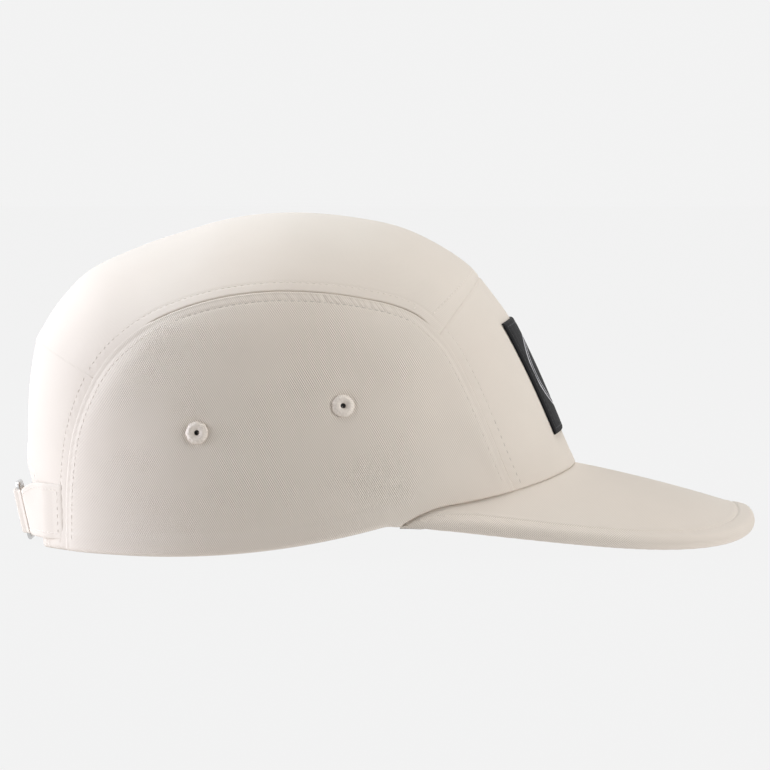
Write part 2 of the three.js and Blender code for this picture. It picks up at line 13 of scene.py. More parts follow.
import bmesh
import bpy
import numpy as np
from bpy.types import ID, Material, Node, NodeSocket, NodeTree, Object
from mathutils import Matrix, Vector, noise
from mathutils.bvhtree import BVHTree
from mathutils.kdtree import KDTree


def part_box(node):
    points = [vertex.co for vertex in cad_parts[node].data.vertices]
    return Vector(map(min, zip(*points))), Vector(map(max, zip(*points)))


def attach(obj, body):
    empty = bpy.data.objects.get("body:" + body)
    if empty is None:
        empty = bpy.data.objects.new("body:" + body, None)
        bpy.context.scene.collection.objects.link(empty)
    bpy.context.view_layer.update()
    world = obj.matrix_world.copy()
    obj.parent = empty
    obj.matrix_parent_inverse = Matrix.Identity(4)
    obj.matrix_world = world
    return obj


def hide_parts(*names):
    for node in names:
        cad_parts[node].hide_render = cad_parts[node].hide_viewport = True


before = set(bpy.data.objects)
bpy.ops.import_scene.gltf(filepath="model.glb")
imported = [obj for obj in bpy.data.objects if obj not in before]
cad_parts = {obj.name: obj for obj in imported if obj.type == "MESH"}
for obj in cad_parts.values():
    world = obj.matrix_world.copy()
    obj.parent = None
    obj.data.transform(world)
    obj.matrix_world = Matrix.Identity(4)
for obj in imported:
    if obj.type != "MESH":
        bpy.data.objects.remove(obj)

Array = np.ndarray
Triple = tuple[float, float, float]
WHITE = (1.0, 1.0, 1.0)
LOG = logging.getLogger("five_panel_cap")
METRE = 0.001  # metres in one millimetre
WEAVE_MAP = "weave"  # UV map that holds each cloth's flat place in millimetres
RIB_DEPTH = "rib_depth"  # attribute that holds how far the twill's ribs stand out, from 0 to 1, which also sets how strong their painted light and painted shade are
BORE_SHADE = "bore_shade"  # attribute for the painted shade down an eyelet's hole: 1 there and 0 on its thread
SIDES = ((-1, "right"), (1, "left"))  # the wearer's sides, along Y
STITCHED = (
    "seam_stitches_right", "seam_stitches_left", "cross_stitches", "tight_stitches_right",
    "tight_stitches_left", "peak_stitches", "strap_stitches",
)


def smoothstep(low: float, high: float, value: Array) -> Array:
    """Eases from 0 at low to 1 at high."""
    share = np.clip((np.asarray(value, float) - low) / (high - low), 0.0, 1.0)
    return share * share * (3.0 - 2.0 * share)


def mix(first: Array, second: Array, share: Array) -> Array:
    """Goes from first to second."""
    return first + (second - first) * share


def bell(value: Array, middle: float, reach: float) -> Array:
    """A smooth hump of height 1 at middle, which has nearly gone at twice its reach."""
    return np.exp(-(((value - middle) / reach) ** 2))


def unit(vectors: Array) -> Array:
    """Gives vectors the length 1."""
    return vectors / np.maximum(np.linalg.norm(vectors, axis=-1, keepdims=True), 1e-9)


def lengths_along(points: Array) -> Array:
    """Adds up the way along a line of points."""
    steps = np.linalg.norm(np.diff(points, axis=0), axis=-1)
    return np.concatenate([np.zeros((1,) + steps.shape[1:]), np.cumsum(steps, axis=0)])


def crowded(count: int, start: float, end: float, reach: float = 0.1) -> Array:
    """Spreads stations from 0 to 1 that stand closer together near the ends.

    Args:
        count: Number of steps.
        start: How many times closer they stand at 0.
        end: How many times closer they stand at 1.
        reach: Share of the way that the close stretch takes.

    Returns:
        count + 1 stations.
    """
    fine = np.linspace(0.0, 1.0, 2001)
    density = 1.0 + (start - 1.0) * (1.0 - smoothstep(0.0, reach, fine))
    density = density + (end - 1.0) * smoothstep(1.0 - reach, 1.0, fine)
    return stations(density, count)


def ripple(points: Array, wavelength: float, seed: float = 0.0) -> Array:
    """Smooth noise over a surface, from about -1 to 1, with swells of a wavelength in millimetres."""
    values = [noise.noise(Vector(place)) for place in points.reshape(-1, 3) / wavelength + seed]
    return np.array(values).reshape(points.shape[:-1])


def linked(name: str, data: ID) -> Object:
    """Makes an object and puts it into the scene.

    Args:
        name: Name of the object.
        data: Its mesh, curve, lamp or camera.

    Returns:
        The object.
    """
    obj = bpy.data.objects.new(name, data)
    bpy.context.scene.collection.objects.link(obj)
    return obj


def stations(density: Array, count: int) -> Array:
    """Spreads stations from 0 to 1 so that they stand as close together as a density asks."""
    total = np.concatenate([[0.0], np.cumsum((density[1:] + density[:-1]) / 2.0)])
    return np.interp(np.linspace(0.0, total[-1], count + 1), total, np.linspace(0.0, 1.0, len(density)))


class Curve:
    """Centripetal Catmull-Rom curve through a few points."""

    def __init__(self, stops: Sequence[Sequence[float]]) -> None:
        """Fits the curve.

        Args:
            stops: Points that it goes through.
        """
        inner = np.asarray(stops, float)
        line = np.vstack([2 * inner[0] - inner[1], inner, 2 * inner[-1] - inner[-2]])
        gaps = np.sqrt(np.linalg.norm(np.diff(line, axis=0), axis=1))[:, None]
        before, span, after = gaps[:-2], gaps[1:-1], gaps[2:]
        p0, p1, p2, p3 = line[:-3], line[1:-2], line[2:-1], line[3:]
        leave = ((p1 - p0) / before - (p2 - p0) / (before + span) + (p2 - p1) / span) * span
        arrive = ((p2 - p1) / span - (p3 - p1) / (span + after) + (p3 - p2) / after) * span
        bend = -3 * p1 + 3 * p2 - 2 * leave - arrive
        twist = 2 * p1 - 2 * p2 + leave + arrive
        self.terms = np.stack([p1, leave, bend, twist])
        self.fine = np.linspace(0.0, 1.0, 1201)
        self.way = lengths_along(self.at(self.fine))

    def at(self, share: Array) -> Array:
        """Points at shares of the way, each section counting the same.

        Args:
            share: Numbers from 0 to 1.

        Returns:
            Points, one for each share.
        """
        count = self.terms.shape[1]
        place = np.clip(np.asarray(share, float), 0.0, 1.0) * count
        section = np.minimum(place.astype(int), count - 1)
        rest = (place - section)[..., None]
        start, leave, bend, twist = self.terms[:, section]
        return start + rest * (leave + rest * (bend + rest * twist))

    def shares_by_length(self, share: Array) -> Array:
        """Turns shares of the whole length into shares for at()."""
        return np.interp(np.asarray(share) * self.way[-1], self.way, self.fine)

    def length(self) -> float:
        """Length of the curve."""
        return float(self.way[-1])


@dataclass(frozen=True)
class Section:
    """One section of a strip of cloth, as shares of half the crown's length and of its height."""

    centre_x: float
    centre_z: float
    seam_x: float
    seam_z: float


@dataclass(frozen=True)
class Girth:
    """The crown's plan at one height: reach to front and back, and width, as shares."""

    height: float
    front: float
    back: float
    width: float


FRONT_SECTIONS = (
    Section(1.002, 0.237, 0.762, 0.185),
    Section(0.952, 0.332, 0.716, 0.275),
    Section(0.896, 0.442, 0.666, 0.377),
    Section(0.829, 0.566, 0.602, 0.5),
    Section(0.757, 0.684, 0.537, 0.6),
    Section(0.65, 0.804, 0.496, 0.643),
)
TOP_SECTIONS = (
    FRONT_SECTIONS[-1],
    Section(0.61, 0.84, 0.42, 0.7),
    Section(0.505, 0.9, 0.34, 0.731),
    Section(0.358, 0.956, 0.225, 0.754),
    Section(0.175, 0.987, 0.085, 0.77),
    Section(-0.045, 1.0, -0.09, 0.774),
    Section(-0.265, 0.982, -0.26, 0.758),
    Section(-0.455, 0.937, -0.4, 0.727),
    Section(-0.632, 0.884, -0.515, 0.685),
    Section(-0.779, 0.824, -0.605, 0.632),
    Section(-0.889, 0.732, -0.673, 0.578),
    Section(-0.972, 0.622, -0.727, 0.516),
)
BACK_SECTIONS = (
    TOP_SECTIONS[-1],
    Section(-0.996, 0.5, -0.773, 0.43),
    Section(-1.005, 0.375, -0.808, 0.333),
    Section(-1.005, 0.25, -0.826, 0.225),
    Section(-1.001, 0.125, -0.832, 0.115),
    Section(-0.992, 0.0, -0.829, 0.0),
)
GIRTHS = (
    Girth(0.0, 1.03, -0.99, 1.0),
    Girth(0.25, 1.0, -1.005, 0.988),
    Girth(0.375, 0.952, -1.005, 0.967),
    Girth(0.5, 0.886, -1.0, 0.932),
    Girth(0.625, 0.815, -0.975, 0.881),
    Girth(0.71, 0.755, -0.925, 0.838),
    Girth(0.79, 0.675, -0.845, 0.786),
    Girth(0.875, 0.575, -0.7, 0.725),
)


@dataclass(frozen=True)
class PeakForm:
    """Sizes of the peak and the shape of its top face."""

    crown_reach: float = 100.0
    length: float = 65.0
    width: float = 157.6
    start: float = 35.5
    bend: float = 150.0
    seat: float = 28.1
    fall: float = 0.192
    droop: float = 4.4
    board: float = 3.2
    band: float = 6.3
    tuck: float = 3.2
    roundness: float = 3.08
    end_fall: float = 4.85
    end_reach: float = 17.5
    end_wall: float = 0.14
    end_height: float = 11.6
    end_slope: float = 0.125

    def ending(self, x: Array, reach: float) -> Array:
        """Share of the way to the peak's ends: 0 ahead of them, 1 at them."""
        return np.clip((self.start + reach - x) / reach, 0.0, 1.0)

    def top(self, x: Array, y: Array) -> Array:
        """Height of the top face before its edge is rolled.

        Args:
            x: Places forward.
            y: Places to the left.

        Returns:
            Heights.
        """
        forward = x - self.crown_reach
        sag = self.bend - np.sqrt(np.maximum(self.bend**2 - y**2, 0.0))
        sag = sag + self.end_fall * self.ending(x, self.end_reach) ** 2
        return self.seat - self.fall * forward - self.droop * (forward / self.length) ** 2 - sag


@dataclass(frozen=True)
class CrownForm:
    """Sizes of the crown and the surface that its panels lie on."""

    length: float = 200.0
    width: float = 160.0
    height: float = 120.0
    roundness: float = 2.15
    wall: float = 1.5
    gap: float = 0.3
    arch_width: float = 62.0
    arch_height: float = 29.5
    rim_rise: float = 0.11
    rim_end: float = 38.0
    peak: PeakForm = PeakForm()

    def girth(self, column: str, height: Array) -> Array:
        """Cubic curve through one column of the girth table.

        Args:
            column: Name of the column.
            height: Shares of the crown's height.

        Returns:
            The column's values there.
        """
        heights = np.array([row.height for row in GIRTHS])
        values = np.array([getattr(row, column) for row in GIRTHS])
        last = len(GIRTHS) - 1
        before = np.maximum(np.arange(last + 1) - 1, 0)
        after = np.minimum(np.arange(last + 1) + 1, last)
        slopes = (values[after] - values[before]) / (heights[after] - heights[before])
        row = np.clip(np.searchsorted(heights, height, side="right") - 1, 0, last - 1)
        span = heights[row + 1] - heights[row]
        t = np.clip((height - heights[row]) / span, 0.0, 1.0)
        rise = values[row + 1] - values[row]
        bend = (1 - t) * (slopes[row] * span - rise) - t * (slopes[row + 1] * span - rise)
        return values[row] + rise * t + t * (1 - t) * bend

    def plan(self, z: Array) -> tuple[Array, Array, Array]:
        """Plan of the crown at a height.

        Args:
            z: Heights.

        Returns:
            Middle, reach and half width of the plan.
        """
        height = np.clip(np.asarray(z, float) / self.height, 0.0, 0.875)
        front = self.girth("front", height) * self.length / 2
        back = self.girth("back", height) * self.length / 2
        return (front + back) / 2, (front - back) / 2, self.girth("width", height) * self.width / 2

    def side_depth(self, x: Array, z: Array) -> Array:
        """Half width of the side panels at a place seen from the side.

        Args:
            x: Places forward.
            z: Heights.

        Returns:
            Distances from the middle plane.
        """
        middle, reach, width = self.plan(z)
        along = np.minimum(np.abs(x - middle) / reach, 0.995)
        return width * (1 - along**self.roundness) ** (1 / self.roundness)

    def side_point(self, x: Array, z: Array, side: int) -> Array:
        """Point of a side panel at a place seen from the side."""
        x, z = np.broadcast_arrays(np.asarray(x, float), np.asarray(z, float))
        return np.stack([x, side * self.side_depth(x, z), z], axis=-1)

    def rim_height(self, x: Array, y: Array) -> Array:
        """Height of the crown's rim: level at the back, rising to the peak, then on the peak.

        Args:
            x: Places forward.
            y: Places to the left.

        Returns:
            Heights.
        """
        flat = -0.3 * self.length
        rise = np.clip((x - flat) / (self.rim_end - flat), 0.0, 1.0)
        free = self.rim_rise * self.height * rise**2.2
        seat_start = self.peak.start - 2 * self.gap
        on_peak = smoothstep(seat_start - 0.03 * self.length, seat_start, x)
        return mix(free, self.peak.top(x, y) + self.gap, on_peak)


class Strip:
    """A strip of cloth through its sections: round across, smooth along."""

    def __init__(self, form: CrownForm, sections: Sequence[Section]) -> None:
        """Lays the strip.

        Args:
            form: The crown that it belongs to.
            sections: Its sections in order.
        """
        half = form.length / 2
        self.form = form
        self.centre = Curve([(row.centre_x * half, 0.0, row.centre_z * form.height) for row in sections])
        self.edge = Curve([(row.seam_x * half, 0.0, row.seam_z * form.height) for row in sections])

    def bow(self, along: Array) -> tuple[Array, Array, Array, Array]:
        """The arc across the strip at a place along it.

        Args:
            along: Shares along the strip.

        Returns:
            Base point, rise vector, radius, and half the angle of the arc.
        """
        base = self.edge.at(along)
        rise = self.centre.at(along) - base
        height = np.linalg.norm(rise, axis=-1)
        half = self.form.side_depth(base[..., 0], base[..., 2])
        radius = (half**2 + height**2) / (2 * height)
        return base, rise, radius, 2 * np.arctan(height / half)

    def point(self, along: Array, across: Array) -> Array:
        """Points of the strip.

        Args:
            along: Shares along it.
            across: Shares from the middle to the side seams, -1 to 1.

        Returns:
            Points.
        """
        along, across = np.broadcast_arrays(np.asarray(along, float), np.asarray(across, float))
        base, rise, radius, angle = self.bow(along)
        height = np.linalg.norm(rise, axis=-1)
        lift = 1 - radius * (1 - np.cos(across * angle)) / height
        place = base + rise * lift[..., None]
        place[..., 1] = radius * np.sin(across * angle)
        return place

    def across_at(self, along: Array, y: Array) -> Array:
        """Share of the way to the side seam at a distance from the middle."""
        _, _, radius, angle = self.bow(along)
        return np.arcsin(np.clip(y / radius, -1.0, 1.0)) / angle

    def half_arc(self, along: Array) -> Array:
        """Length of cloth from the middle to a side seam."""
        _, _, radius, angle = self.bow(along)
        return radius * angle


class Line:
    """A line on the cap with a quick search for the nearest place on it."""

    spacing = 0.5  # distance between the places that are kept

    def __init__(self, points: Array) -> None:
        """Keeps the line at an even spacing.

        Args:
            points: Points in order.
        """
        way = lengths_along(points)
        count = max(int(way[-1] / self.spacing), 2)
        self.way = np.linspace(0.0, way[-1], count + 1)
        self.points = np.stack([np.interp(self.way, way, points[:, axis]) for axis in range(3)], axis=1)
        self.tangents = unit(np.gradient(self.points, axis=0))
        self.tree = KDTree(count + 1)
        for index, point in enumerate(self.points):
            self.tree.insert(point, index)
        self.tree.balance()

    def near(self, points: Array) -> tuple[Array, Array]:
        """Nearest places on the line.

        Args:
            points: Places on the cloth, any shape ending in 3.

        Returns:
            Distance to the line, and how far along it that is.
        """
        flat = points.reshape(-1, 3)
        index = np.array([self.tree.find(point)[1] for point in flat])
        offset = flat - self.points[index]
        slide = np.einsum("ij,ij->i", offset, self.tangents[index])
        distance = np.sqrt(np.maximum(np.einsum("ij,ij->i", offset, offset) - slide**2, 0.0))
        past_end = (index == 0) | (index == len(self.points) - 1)
        distance = np.where(past_end, np.linalg.norm(offset, axis=1), distance)
        shape = points.shape[:-1]
        return distance.reshape(shape), (self.way[index] + slide).reshape(shape)


@dataclass(frozen=True)
class SeamProfile:
    """Section of a sewn seam on one panel, from the seam line into the cloth."""

    groove: float = 0.55
    groove_width: float = 0.24
    sunk: float = 0.17
    reach: float = 5.5
    row: float = 4.1
    dimple: float = 0.13
    dimple_width: float = 0.5
    valley: float = 0.0
    valley_place: float = 2.1
    valley_width: float = 0.85
    lip: float = 0.0
    lip_place: float = 0.85
    lip_width: float = 0.45
    pucker: float = 0.05
    pucker_length: float = 4.2

    def height(self, distance: Array, along: Array, crease: Array = 1.0) -> Array:
        """Relief of the cloth near the seam.

        Args:
            distance: Distances from the seam line.
            along: Ways along it.
            crease: 1 for a sharp crease, 0 for a soft valley beside a ridge.

        Returns:
            Heights above the plain cloth.
        """
        fall = (0.7 + 0.3 * crease) * self.sunk * np.exp(-2.2 * distance / self.reach)
        cut = crease * self.groove * bell(distance, 0.0, self.groove_width)
        lip = crease * self.lip * bell(distance, self.lip_place, self.lip_width)
        valley = (1 - crease) * self.valley * bell(distance, self.valley_place, self.valley_width)
        row = (0.35 + 0.65 * crease) * self.dimple * bell(distance, self.row, self.dimple_width)
        wander = np.sin(along / 13.0) + np.sin(along / 29.0 + 1.3)
        phase = 2 * math.pi * (along + 0.5 * distance + 1.4 * wander) / self.pucker_length
        near = bell(distance, 0.62 * self.row, 0.6 * self.row)
        swell = 0.6 + 0.4 * np.sin(along / 17.0 + 0.7)
        return lip - fall - cut - valley - row + self.pucker * near * swell * np.sin(phase)


@dataclass(frozen=True)
class HemProfile:
    """Section of a folded edge: how far it rolls in, and its stitch row if it has one."""

    roll: float = 0.7
    radius: float = 1.3
    fold: float = 0.25
    fold_width: float = 7.0
    row: float = 0.0
    row_depth: float = 0.22
    row_width: float = 0.6

    def height(self, distance: Array) -> Array:
        """Relief of the cloth near its folded edge.

        Args:
            distance: Distances from the edge.

        Returns:
            Heights above the plain cloth.
        """
        share = np.clip(1 - distance / self.radius, 0.0, 1.0)
        rolled = -self.roll * (1 - np.sqrt(np.maximum(1 - share**2, 0.0)))
        folded = self.fold * (1 - smoothstep(self.fold_width - 1.2, self.fold_width + 1.2, distance))
        row = self.row_depth * bell(distance, self.row, self.row_width) if self.row > 0 else 0.0
        return rolled + folded * (1 - share) - row


@dataclass(frozen=True)
class Dent:
    """A soft dent or swell in a side panel, seen from the side."""

    x: float
    z: float
    reach_x: float
    reach_z: float
    height: float
    turn: float = 0.0

    def at(self, x: Array, z: Array) -> Array:
        """Height of the dent at places seen from the side.

        Args:
            x: Places forward.
            z: Heights.

        Returns:
            Heights above the plain cloth.
        """
        cos, sin = math.cos(self.turn), math.sin(self.turn)
        across = (cos * (x - self.x) + sin * (z - self.z)) / self.reach_x
        up = (-sin * (x - self.x) + cos * (z - self.z)) / self.reach_z
        return self.height * np.exp(-(across**2) - up**2)


def grid_normals(points: Array, inside: Array) -> Array:
    """Directions that look out of a grid of points.

    Args:
        points: Grid of points.
        inside: A point behind the grid.

    Returns:
        Unit vectors, one for each point.
    """
    normals = unit(np.cross(np.gradient(points, axis=0), np.gradient(points, axis=1)))
    outward = np.einsum("ijk,ijk->ij", normals, points - inside).mean()
    return normals if outward > 0 else -normals


def grid_object(
    name: str, points: Array, flat: Array, shift: float, ribs: Array | float = 0.2
) -> Object:
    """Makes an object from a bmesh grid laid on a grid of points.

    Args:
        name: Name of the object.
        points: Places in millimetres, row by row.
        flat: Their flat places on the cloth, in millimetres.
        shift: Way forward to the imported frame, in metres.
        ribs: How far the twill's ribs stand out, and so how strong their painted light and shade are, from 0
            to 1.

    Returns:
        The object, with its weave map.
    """
    rows, columns = points.shape[0] - 1, points.shape[1] - 1
    bm = bmesh.new()
    bmesh.ops.create_grid(bm, x_segments=columns, y_segments=rows, size=0.5)
    mesh = bpy.data.meshes.new(name)
    bm.to_mesh(mesh)
    bm.free()
    placed = points.reshape(-1, 3) * METRE + np.array([shift, 0.0, 0.0])
    mesh.vertices.foreach_set("co", placed.astype(np.float32).ravel())
    corners = np.zeros(len(mesh.loops), np.int32)
    mesh.loops.foreach_get("vertex_index", corners)
    layer = mesh.uv_layers.new(name=WEAVE_MAP)
    layer.data.foreach_set("uv", flat.reshape(-1, 2)[corners].astype(np.float32).ravel())
    relief = mesh.attributes.new(RIB_DEPTH, "FLOAT", "POINT")
    depths = np.broadcast_to(ribs, points.shape[:2])
    relief.data.foreach_set("value", depths.astype(np.float32).ravel())
    mesh.polygons.foreach_set("use_smooth", np.ones(len(mesh.polygons), bool))
    mesh.update()
    return linked(name, mesh)


def face_out(obj: Object, inside: Vector) -> None:
    """Turns an open sheet's faces away from a point behind it, in metres."""
    if sum(face.normal.dot(face.center - inside) * face.area for face in obj.data.polygons) < 0:
        obj.data.flip_normals()


def skin_of(obj: Object) -> BVHTree:
    """Search tree of an object's faces, for thread that lies on them."""
    mesh = obj.data
    return BVHTree.FromPolygons([v.co for v in mesh.vertices], [p.vertices for p in mesh.polygons])


def add_wall(obj: Object, wall: float) -> None:
    """Gives a sheet its thickness, on its inner side.

    Args:
        obj: The sheet, with its faces pointing out.
        wall: Thickness in millimetres.
    """
    modifier = obj.modifiers.new("wall", "SOLIDIFY")
    modifier.thickness = wall * METRE
    modifier.offset = -1.0
    modifier.use_even_offset = False
    modifier.use_quality_normals = True


def drop_faces(obj: Object, centre: Vector, radius: float) -> None:
    """Opens a hole in a sheet.

    Args:
        obj: The sheet.
        centre: Middle of the hole, in metres.
        radius: Radius in metres.
    """
    bm = bmesh.new()
    bm.from_mesh(obj.data)
    gone = [face for face in bm.faces if (face.calc_center_median() - centre).length < radius]
    bmesh.ops.delete(bm, geom=gone, context="FACES")
    bm.to_mesh(obj.data)
    bm.free()


@dataclass
class Stitching:
    """Rows of thread, each stitch a short capsule that dips into the cloth at both ends."""

    pitch: float = 2.3
    stitch: float = 2.15
    width: float = 0.44
    height: float = 0.3
    proud: float = 0.02

    def template(self) -> tuple[Array, list[list[int]]]:
        """Shape of one stitch, lying along X.

        Returns:
            Its points in millimetres and its faces.
        """
        bm = bmesh.new()
        bmesh.ops.create_uvsphere(bm, u_segments=6, v_segments=6, radius=0.5)
        turn = Vector((1, 0, 0)).rotation_difference(Vector((0, 0, 1)))
        bmesh.ops.rotate(bm, verts=bm.verts, matrix=turn.to_matrix().inverted())
        bmesh.ops.scale(bm, verts=bm.verts, vec=(self.stitch, self.width, self.height))
        bm.verts.index_update()
        points = np.array([v.co[:] for v in bm.verts])
        points[:, 2] -= 0.9 * self.height * (2 * points[:, 0] / self.stitch) ** 4
        faces = [[v.index for v in face.verts] for face in bm.faces]
        bm.free()
        return points, faces

    def places(self, line: Array, crown: "Crown", cloth: str) -> Array:
        """Puts stitches along a line on the cloth.

        Args:
            line: Points of the row in millimetres.
            crown: The crown, which keeps every cloth's skin.
            cloth: Name of the cloth that is sewn.

        Returns:
            One 3 by 4 placing matrix in metres for each stitch.
        """
        way = lengths_along(line)
        count = max(int(way[-1] / self.pitch), 1)
        centres = (np.arange(count) + 0.5) * way[-1] / count
        found = []
        for station in centres:
            spots = []
            for reach in (-0.5, 0.0, 0.5):
                spot = [np.interp(station + reach * self.stitch, way, line[:, axis]) for axis in range(3)]
                spots.append(crown.skins[cloth].find_nearest(crown.packed(spot)))
            along = (spots[2][0] - spots[0][0]).normalized()
            normal = (spots[0][1] + spots[1][1] + spots[2][1]).normalized()
            across = normal.cross(along).normalized()
            middle = spots[1][0] + normal * (self.proud * METRE)
            found.append([[along[k], across[k], normal[k], middle[k]] for k in range(3)])
        return np.array(found)

    def build(self, name: str, places: Sequence[Array]) -> Object:
        """Joins all stitches into one mesh.

        Args:
            name: Name of the object.
            places: Placing matrices of several rows.

        Returns:
            The object.
        """
        points, faces = self.template()
        matrices = np.concatenate([rows for rows in places if len(rows)])
        local = np.concatenate([points * METRE, np.ones((len(points), 1))], axis=1)
        joined = np.einsum("nij,pj->npi", matrices, local).reshape(-1, 3)
        starts = range(0, len(joined), len(points))
        joined_faces = [[start + corner for corner in face] for start in starts for face in faces]
        mesh = bpy.data.meshes.new(name)
        mesh.from_pydata(joined, [], joined_faces, shade_flat=False)
        return linked(name, mesh)


@dataclass
class Crown:
    """The five cloth panels with their seams, hems and stitch rows."""

    form: CrownForm = CrownForm()
    front_rows: int = 120
    top_rows: int = 230
    side_rows: int = 130
    side_columns: int = 320
    back_rings: int = 64
    across: int = 180
    top_seam: SeamProfile = SeamProfile()
    side_seam: SeamProfile = SeamProfile(
        groove=0.8, sunk=1.15, reach=17.0, row=3.9, dimple=0.16, valley=0.14, lip=0.12, pucker=0.07
    )
    cross_seam: SeamProfile = SeamProfile(
        groove=0.26, groove_width=0.62, sunk=0.06, reach=3.0, row=3.7, dimple=0.05, pucker=0.0
    )
    pillow: float = 0.85
    swell: float = 0.16
    swell_length: float = 24.0
    ripple_height: float = 0.05
    ripple_length: float = 9.0
    hem: HemProfile = HemProfile()
    peak_hem: HemProfile = HemProfile(radius=0.9, fold=0.1, fold_width=4.0)
    arch_hem: HemProfile = HemProfile(row=5.0, fold=0.35, fold_width=6.4)
    dents: tuple[Dent, ...] = (
        Dent(20.0, 63.0, 9.0, 7.0, -0.8, -0.35),
        Dent(52.0, 48.0, 7.0, 20.0, -0.5, 0.3),
        Dent(-20.0, 50.0, 26.0, 22.0, -0.5),
        Dent(-62.0, 62.0, 10.0, 24.0, 0.5, -0.5),
        Dent(63.0, 33.0, 5.0, 12.0, -0.45, 0.55),
        Dent(0.0, 22.0, 40.0, 7.0, 0.4),
    )
    eyelet_spots: tuple[tuple[str, float, float], ...] = (("rear", -35.1, 43.68), ("front", 15.7, 53.04))
    eyelet_cut: float = 2.5
    eyelet_sink: float = 0.4
    eyelet_sink_reach: float = 5.2
    eyelet_rim: float = 4.25
    eyelet_rim_depth: float = 0.3
    eyelet_rim_width: float = 0.55
    gather_height: float = 0.19
    gather_length: float = 2.7
    crease_start: float = 0.665
    crease_end: float = 0.705
    skins: dict[str, BVHTree] = field(default_factory=dict)

    def __post_init__(self) -> None:
        """Lays the strips, the seam lines and the frame's shift."""
        self.front = Strip(self.form, FRONT_SECTIONS)
        self.top = Strip(self.form, TOP_SECTIONS)
        self.back = Strip(self.form, BACK_SECTIONS)
        self.inside = np.array([0.0, 0.0, 0.35 * self.form.height])
        peak_tip = self.form.peak.crown_reach + self.form.peak.length
        self.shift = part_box("peak")[1][0] - peak_tip * METRE
        self.seams = {side: Line(self.seam_points(side)) for side, _ in SIDES}
        self.front_cross = Line(self.front.point(np.ones(400), np.linspace(-1, 1, 400)))

    def packed(self, place: Sequence[float]) -> Vector:
        """Takes a place in the crown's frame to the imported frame, in metres."""
        return Vector(place) * METRE + Vector((self.shift, 0, 0))

    def seam_points(self, side: int) -> Array:
        """The side seam from the peak over the crown to the back of the rim.

        Args:
            side: -1 for the right, 1 for the left.

        Returns:
            Points in order.
        """
        share = np.linspace(0, 1, 400)
        path = np.concatenate([strip.edge.at(share)[: -1] for strip in (self.front, self.top)])
        path = np.concatenate([path, self.back.edge.at(share)])
        return self.form.side_point(path[:, 0], path[:, 2], side)

    def side_gap(self, points: Array) -> tuple[Array, Array]:
        """Distance to the nearer side seam, and the way along it."""
        (right, right_way), (left, left_way) = (self.seams[side].near(points) for side, _ in SIDES)
        return np.minimum(right, left), np.where(right < left, right_way, left_way)

    def crease(self, points: Array) -> Array:
        """Share of the side seam's groove: whole over the ear, none down the front and the back."""
        share = points[..., 2] / self.form.height
        return smoothstep(self.crease_start, self.crease_end, share)

    def cloth(
        self, name: str, points: Array, flat: Array, heights: Array, ribs: Array | float = 0.12
    ) -> Object:
        """Finishes one panel: relief, faces that look out, and a skin for its thread.

        Args:
            name: Name of the panel.
            points: Plain surface.
            flat: Flat places of the cloth.
            heights: Relief.
            ribs: How far the twill's ribs stand out, and so how strong their painted light and shade are.

        Returns:
            The panel's object, still without its wall.
        """
        normals = grid_normals(points, self.inside)
        swell = self.swell * ripple(points, self.swell_length)
        swell += self.ripple_height * ripple(points, self.ripple_length, 7.3)
        shaped = points + normals * (heights + swell)[..., None]
        obj = grid_object(name, shaped, flat, self.shift, ribs)
        face_out(obj, self.packed(self.inside))
        self.skins[name] = skin_of(obj)
        return obj

    def strip_flat(self, strip: Strip, along: Array, across: Array, start: float) -> Array:
        """Flat places of a strip's cloth.

        Args:
            strip: The strip.
            along: Shares along it.
            across: Shares across it.
            start: Length of cloth before it.

        Returns:
            Places in millimetres.
        """
        fine = np.linspace(0, 1, 600)
        way = lengths_along(strip.centre.at(fine))
        along, across = np.broadcast_arrays(along, across)
        u = across * strip.half_arc(along)
        return np.stack([u, start + np.interp(along, fine, way)], axis=-1)

    def front_panel(self) -> Object:
        """Builds the panel over the forehead."""
        along = crowded(self.front_rows, 2.2, 2.6)[:, None]
        across = 2 * crowded(self.across, 5.0, 5.0, 0.05)[None, :] - 1
        points = self.front.point(along, across)
        seat = self.form.rim_height(points[..., 0], points[..., 1])
        ease = np.clip(1 - along * 8, 0, 1)
        points[..., 2] += (seat[0] - points[0, :, 2])[None, :] * ease
        heights = self.top_seam.height(*self.side_gap(points), self.crease(points))
        heights += replace(self.cross_seam, dimple=0.0).height(*self.front_cross.near(points))
        heights += self.peak_hem.height(Line(points[0]).near(points)[0])
        flat = self.strip_flat(self.front, along, across, 0.0)
        return self.cloth("front_panel_cloth", points, flat, heights)

    def top_panel(self) -> Object:
        """Builds the long panel over the crown."""
        along = crowded(self.top_rows, 2.4, 2.4, 0.06)[:, None]
        across = 2 * crowded(self.across, 5.0, 5.0, 0.05)[None, :] - 1
        points = self.top.point(along, across)
        heights = self.top_seam.height(*self.side_gap(points), self.crease(points))
        heights += self.cross_seam.height(*self.front_cross.near(points))
        flat = self.strip_flat(self.top, along, across, self.front.centre.length())
        return self.cloth("top_panel_cloth", points, flat, heights)

    def arch_shares(self) -> tuple[float, float]:
        """Where the arch ends: share across at the rim, and share along at its top."""
        along = np.linspace(0, 1, 4001)
        height = self.back.point(along, np.zeros_like(along))[:, 2]
        top = float(np.interp(-self.form.arch_height, -height, along))
        across = self.back.across_at(np.array(1.0), np.array(self.form.arch_width / 2))
        return float(across), top

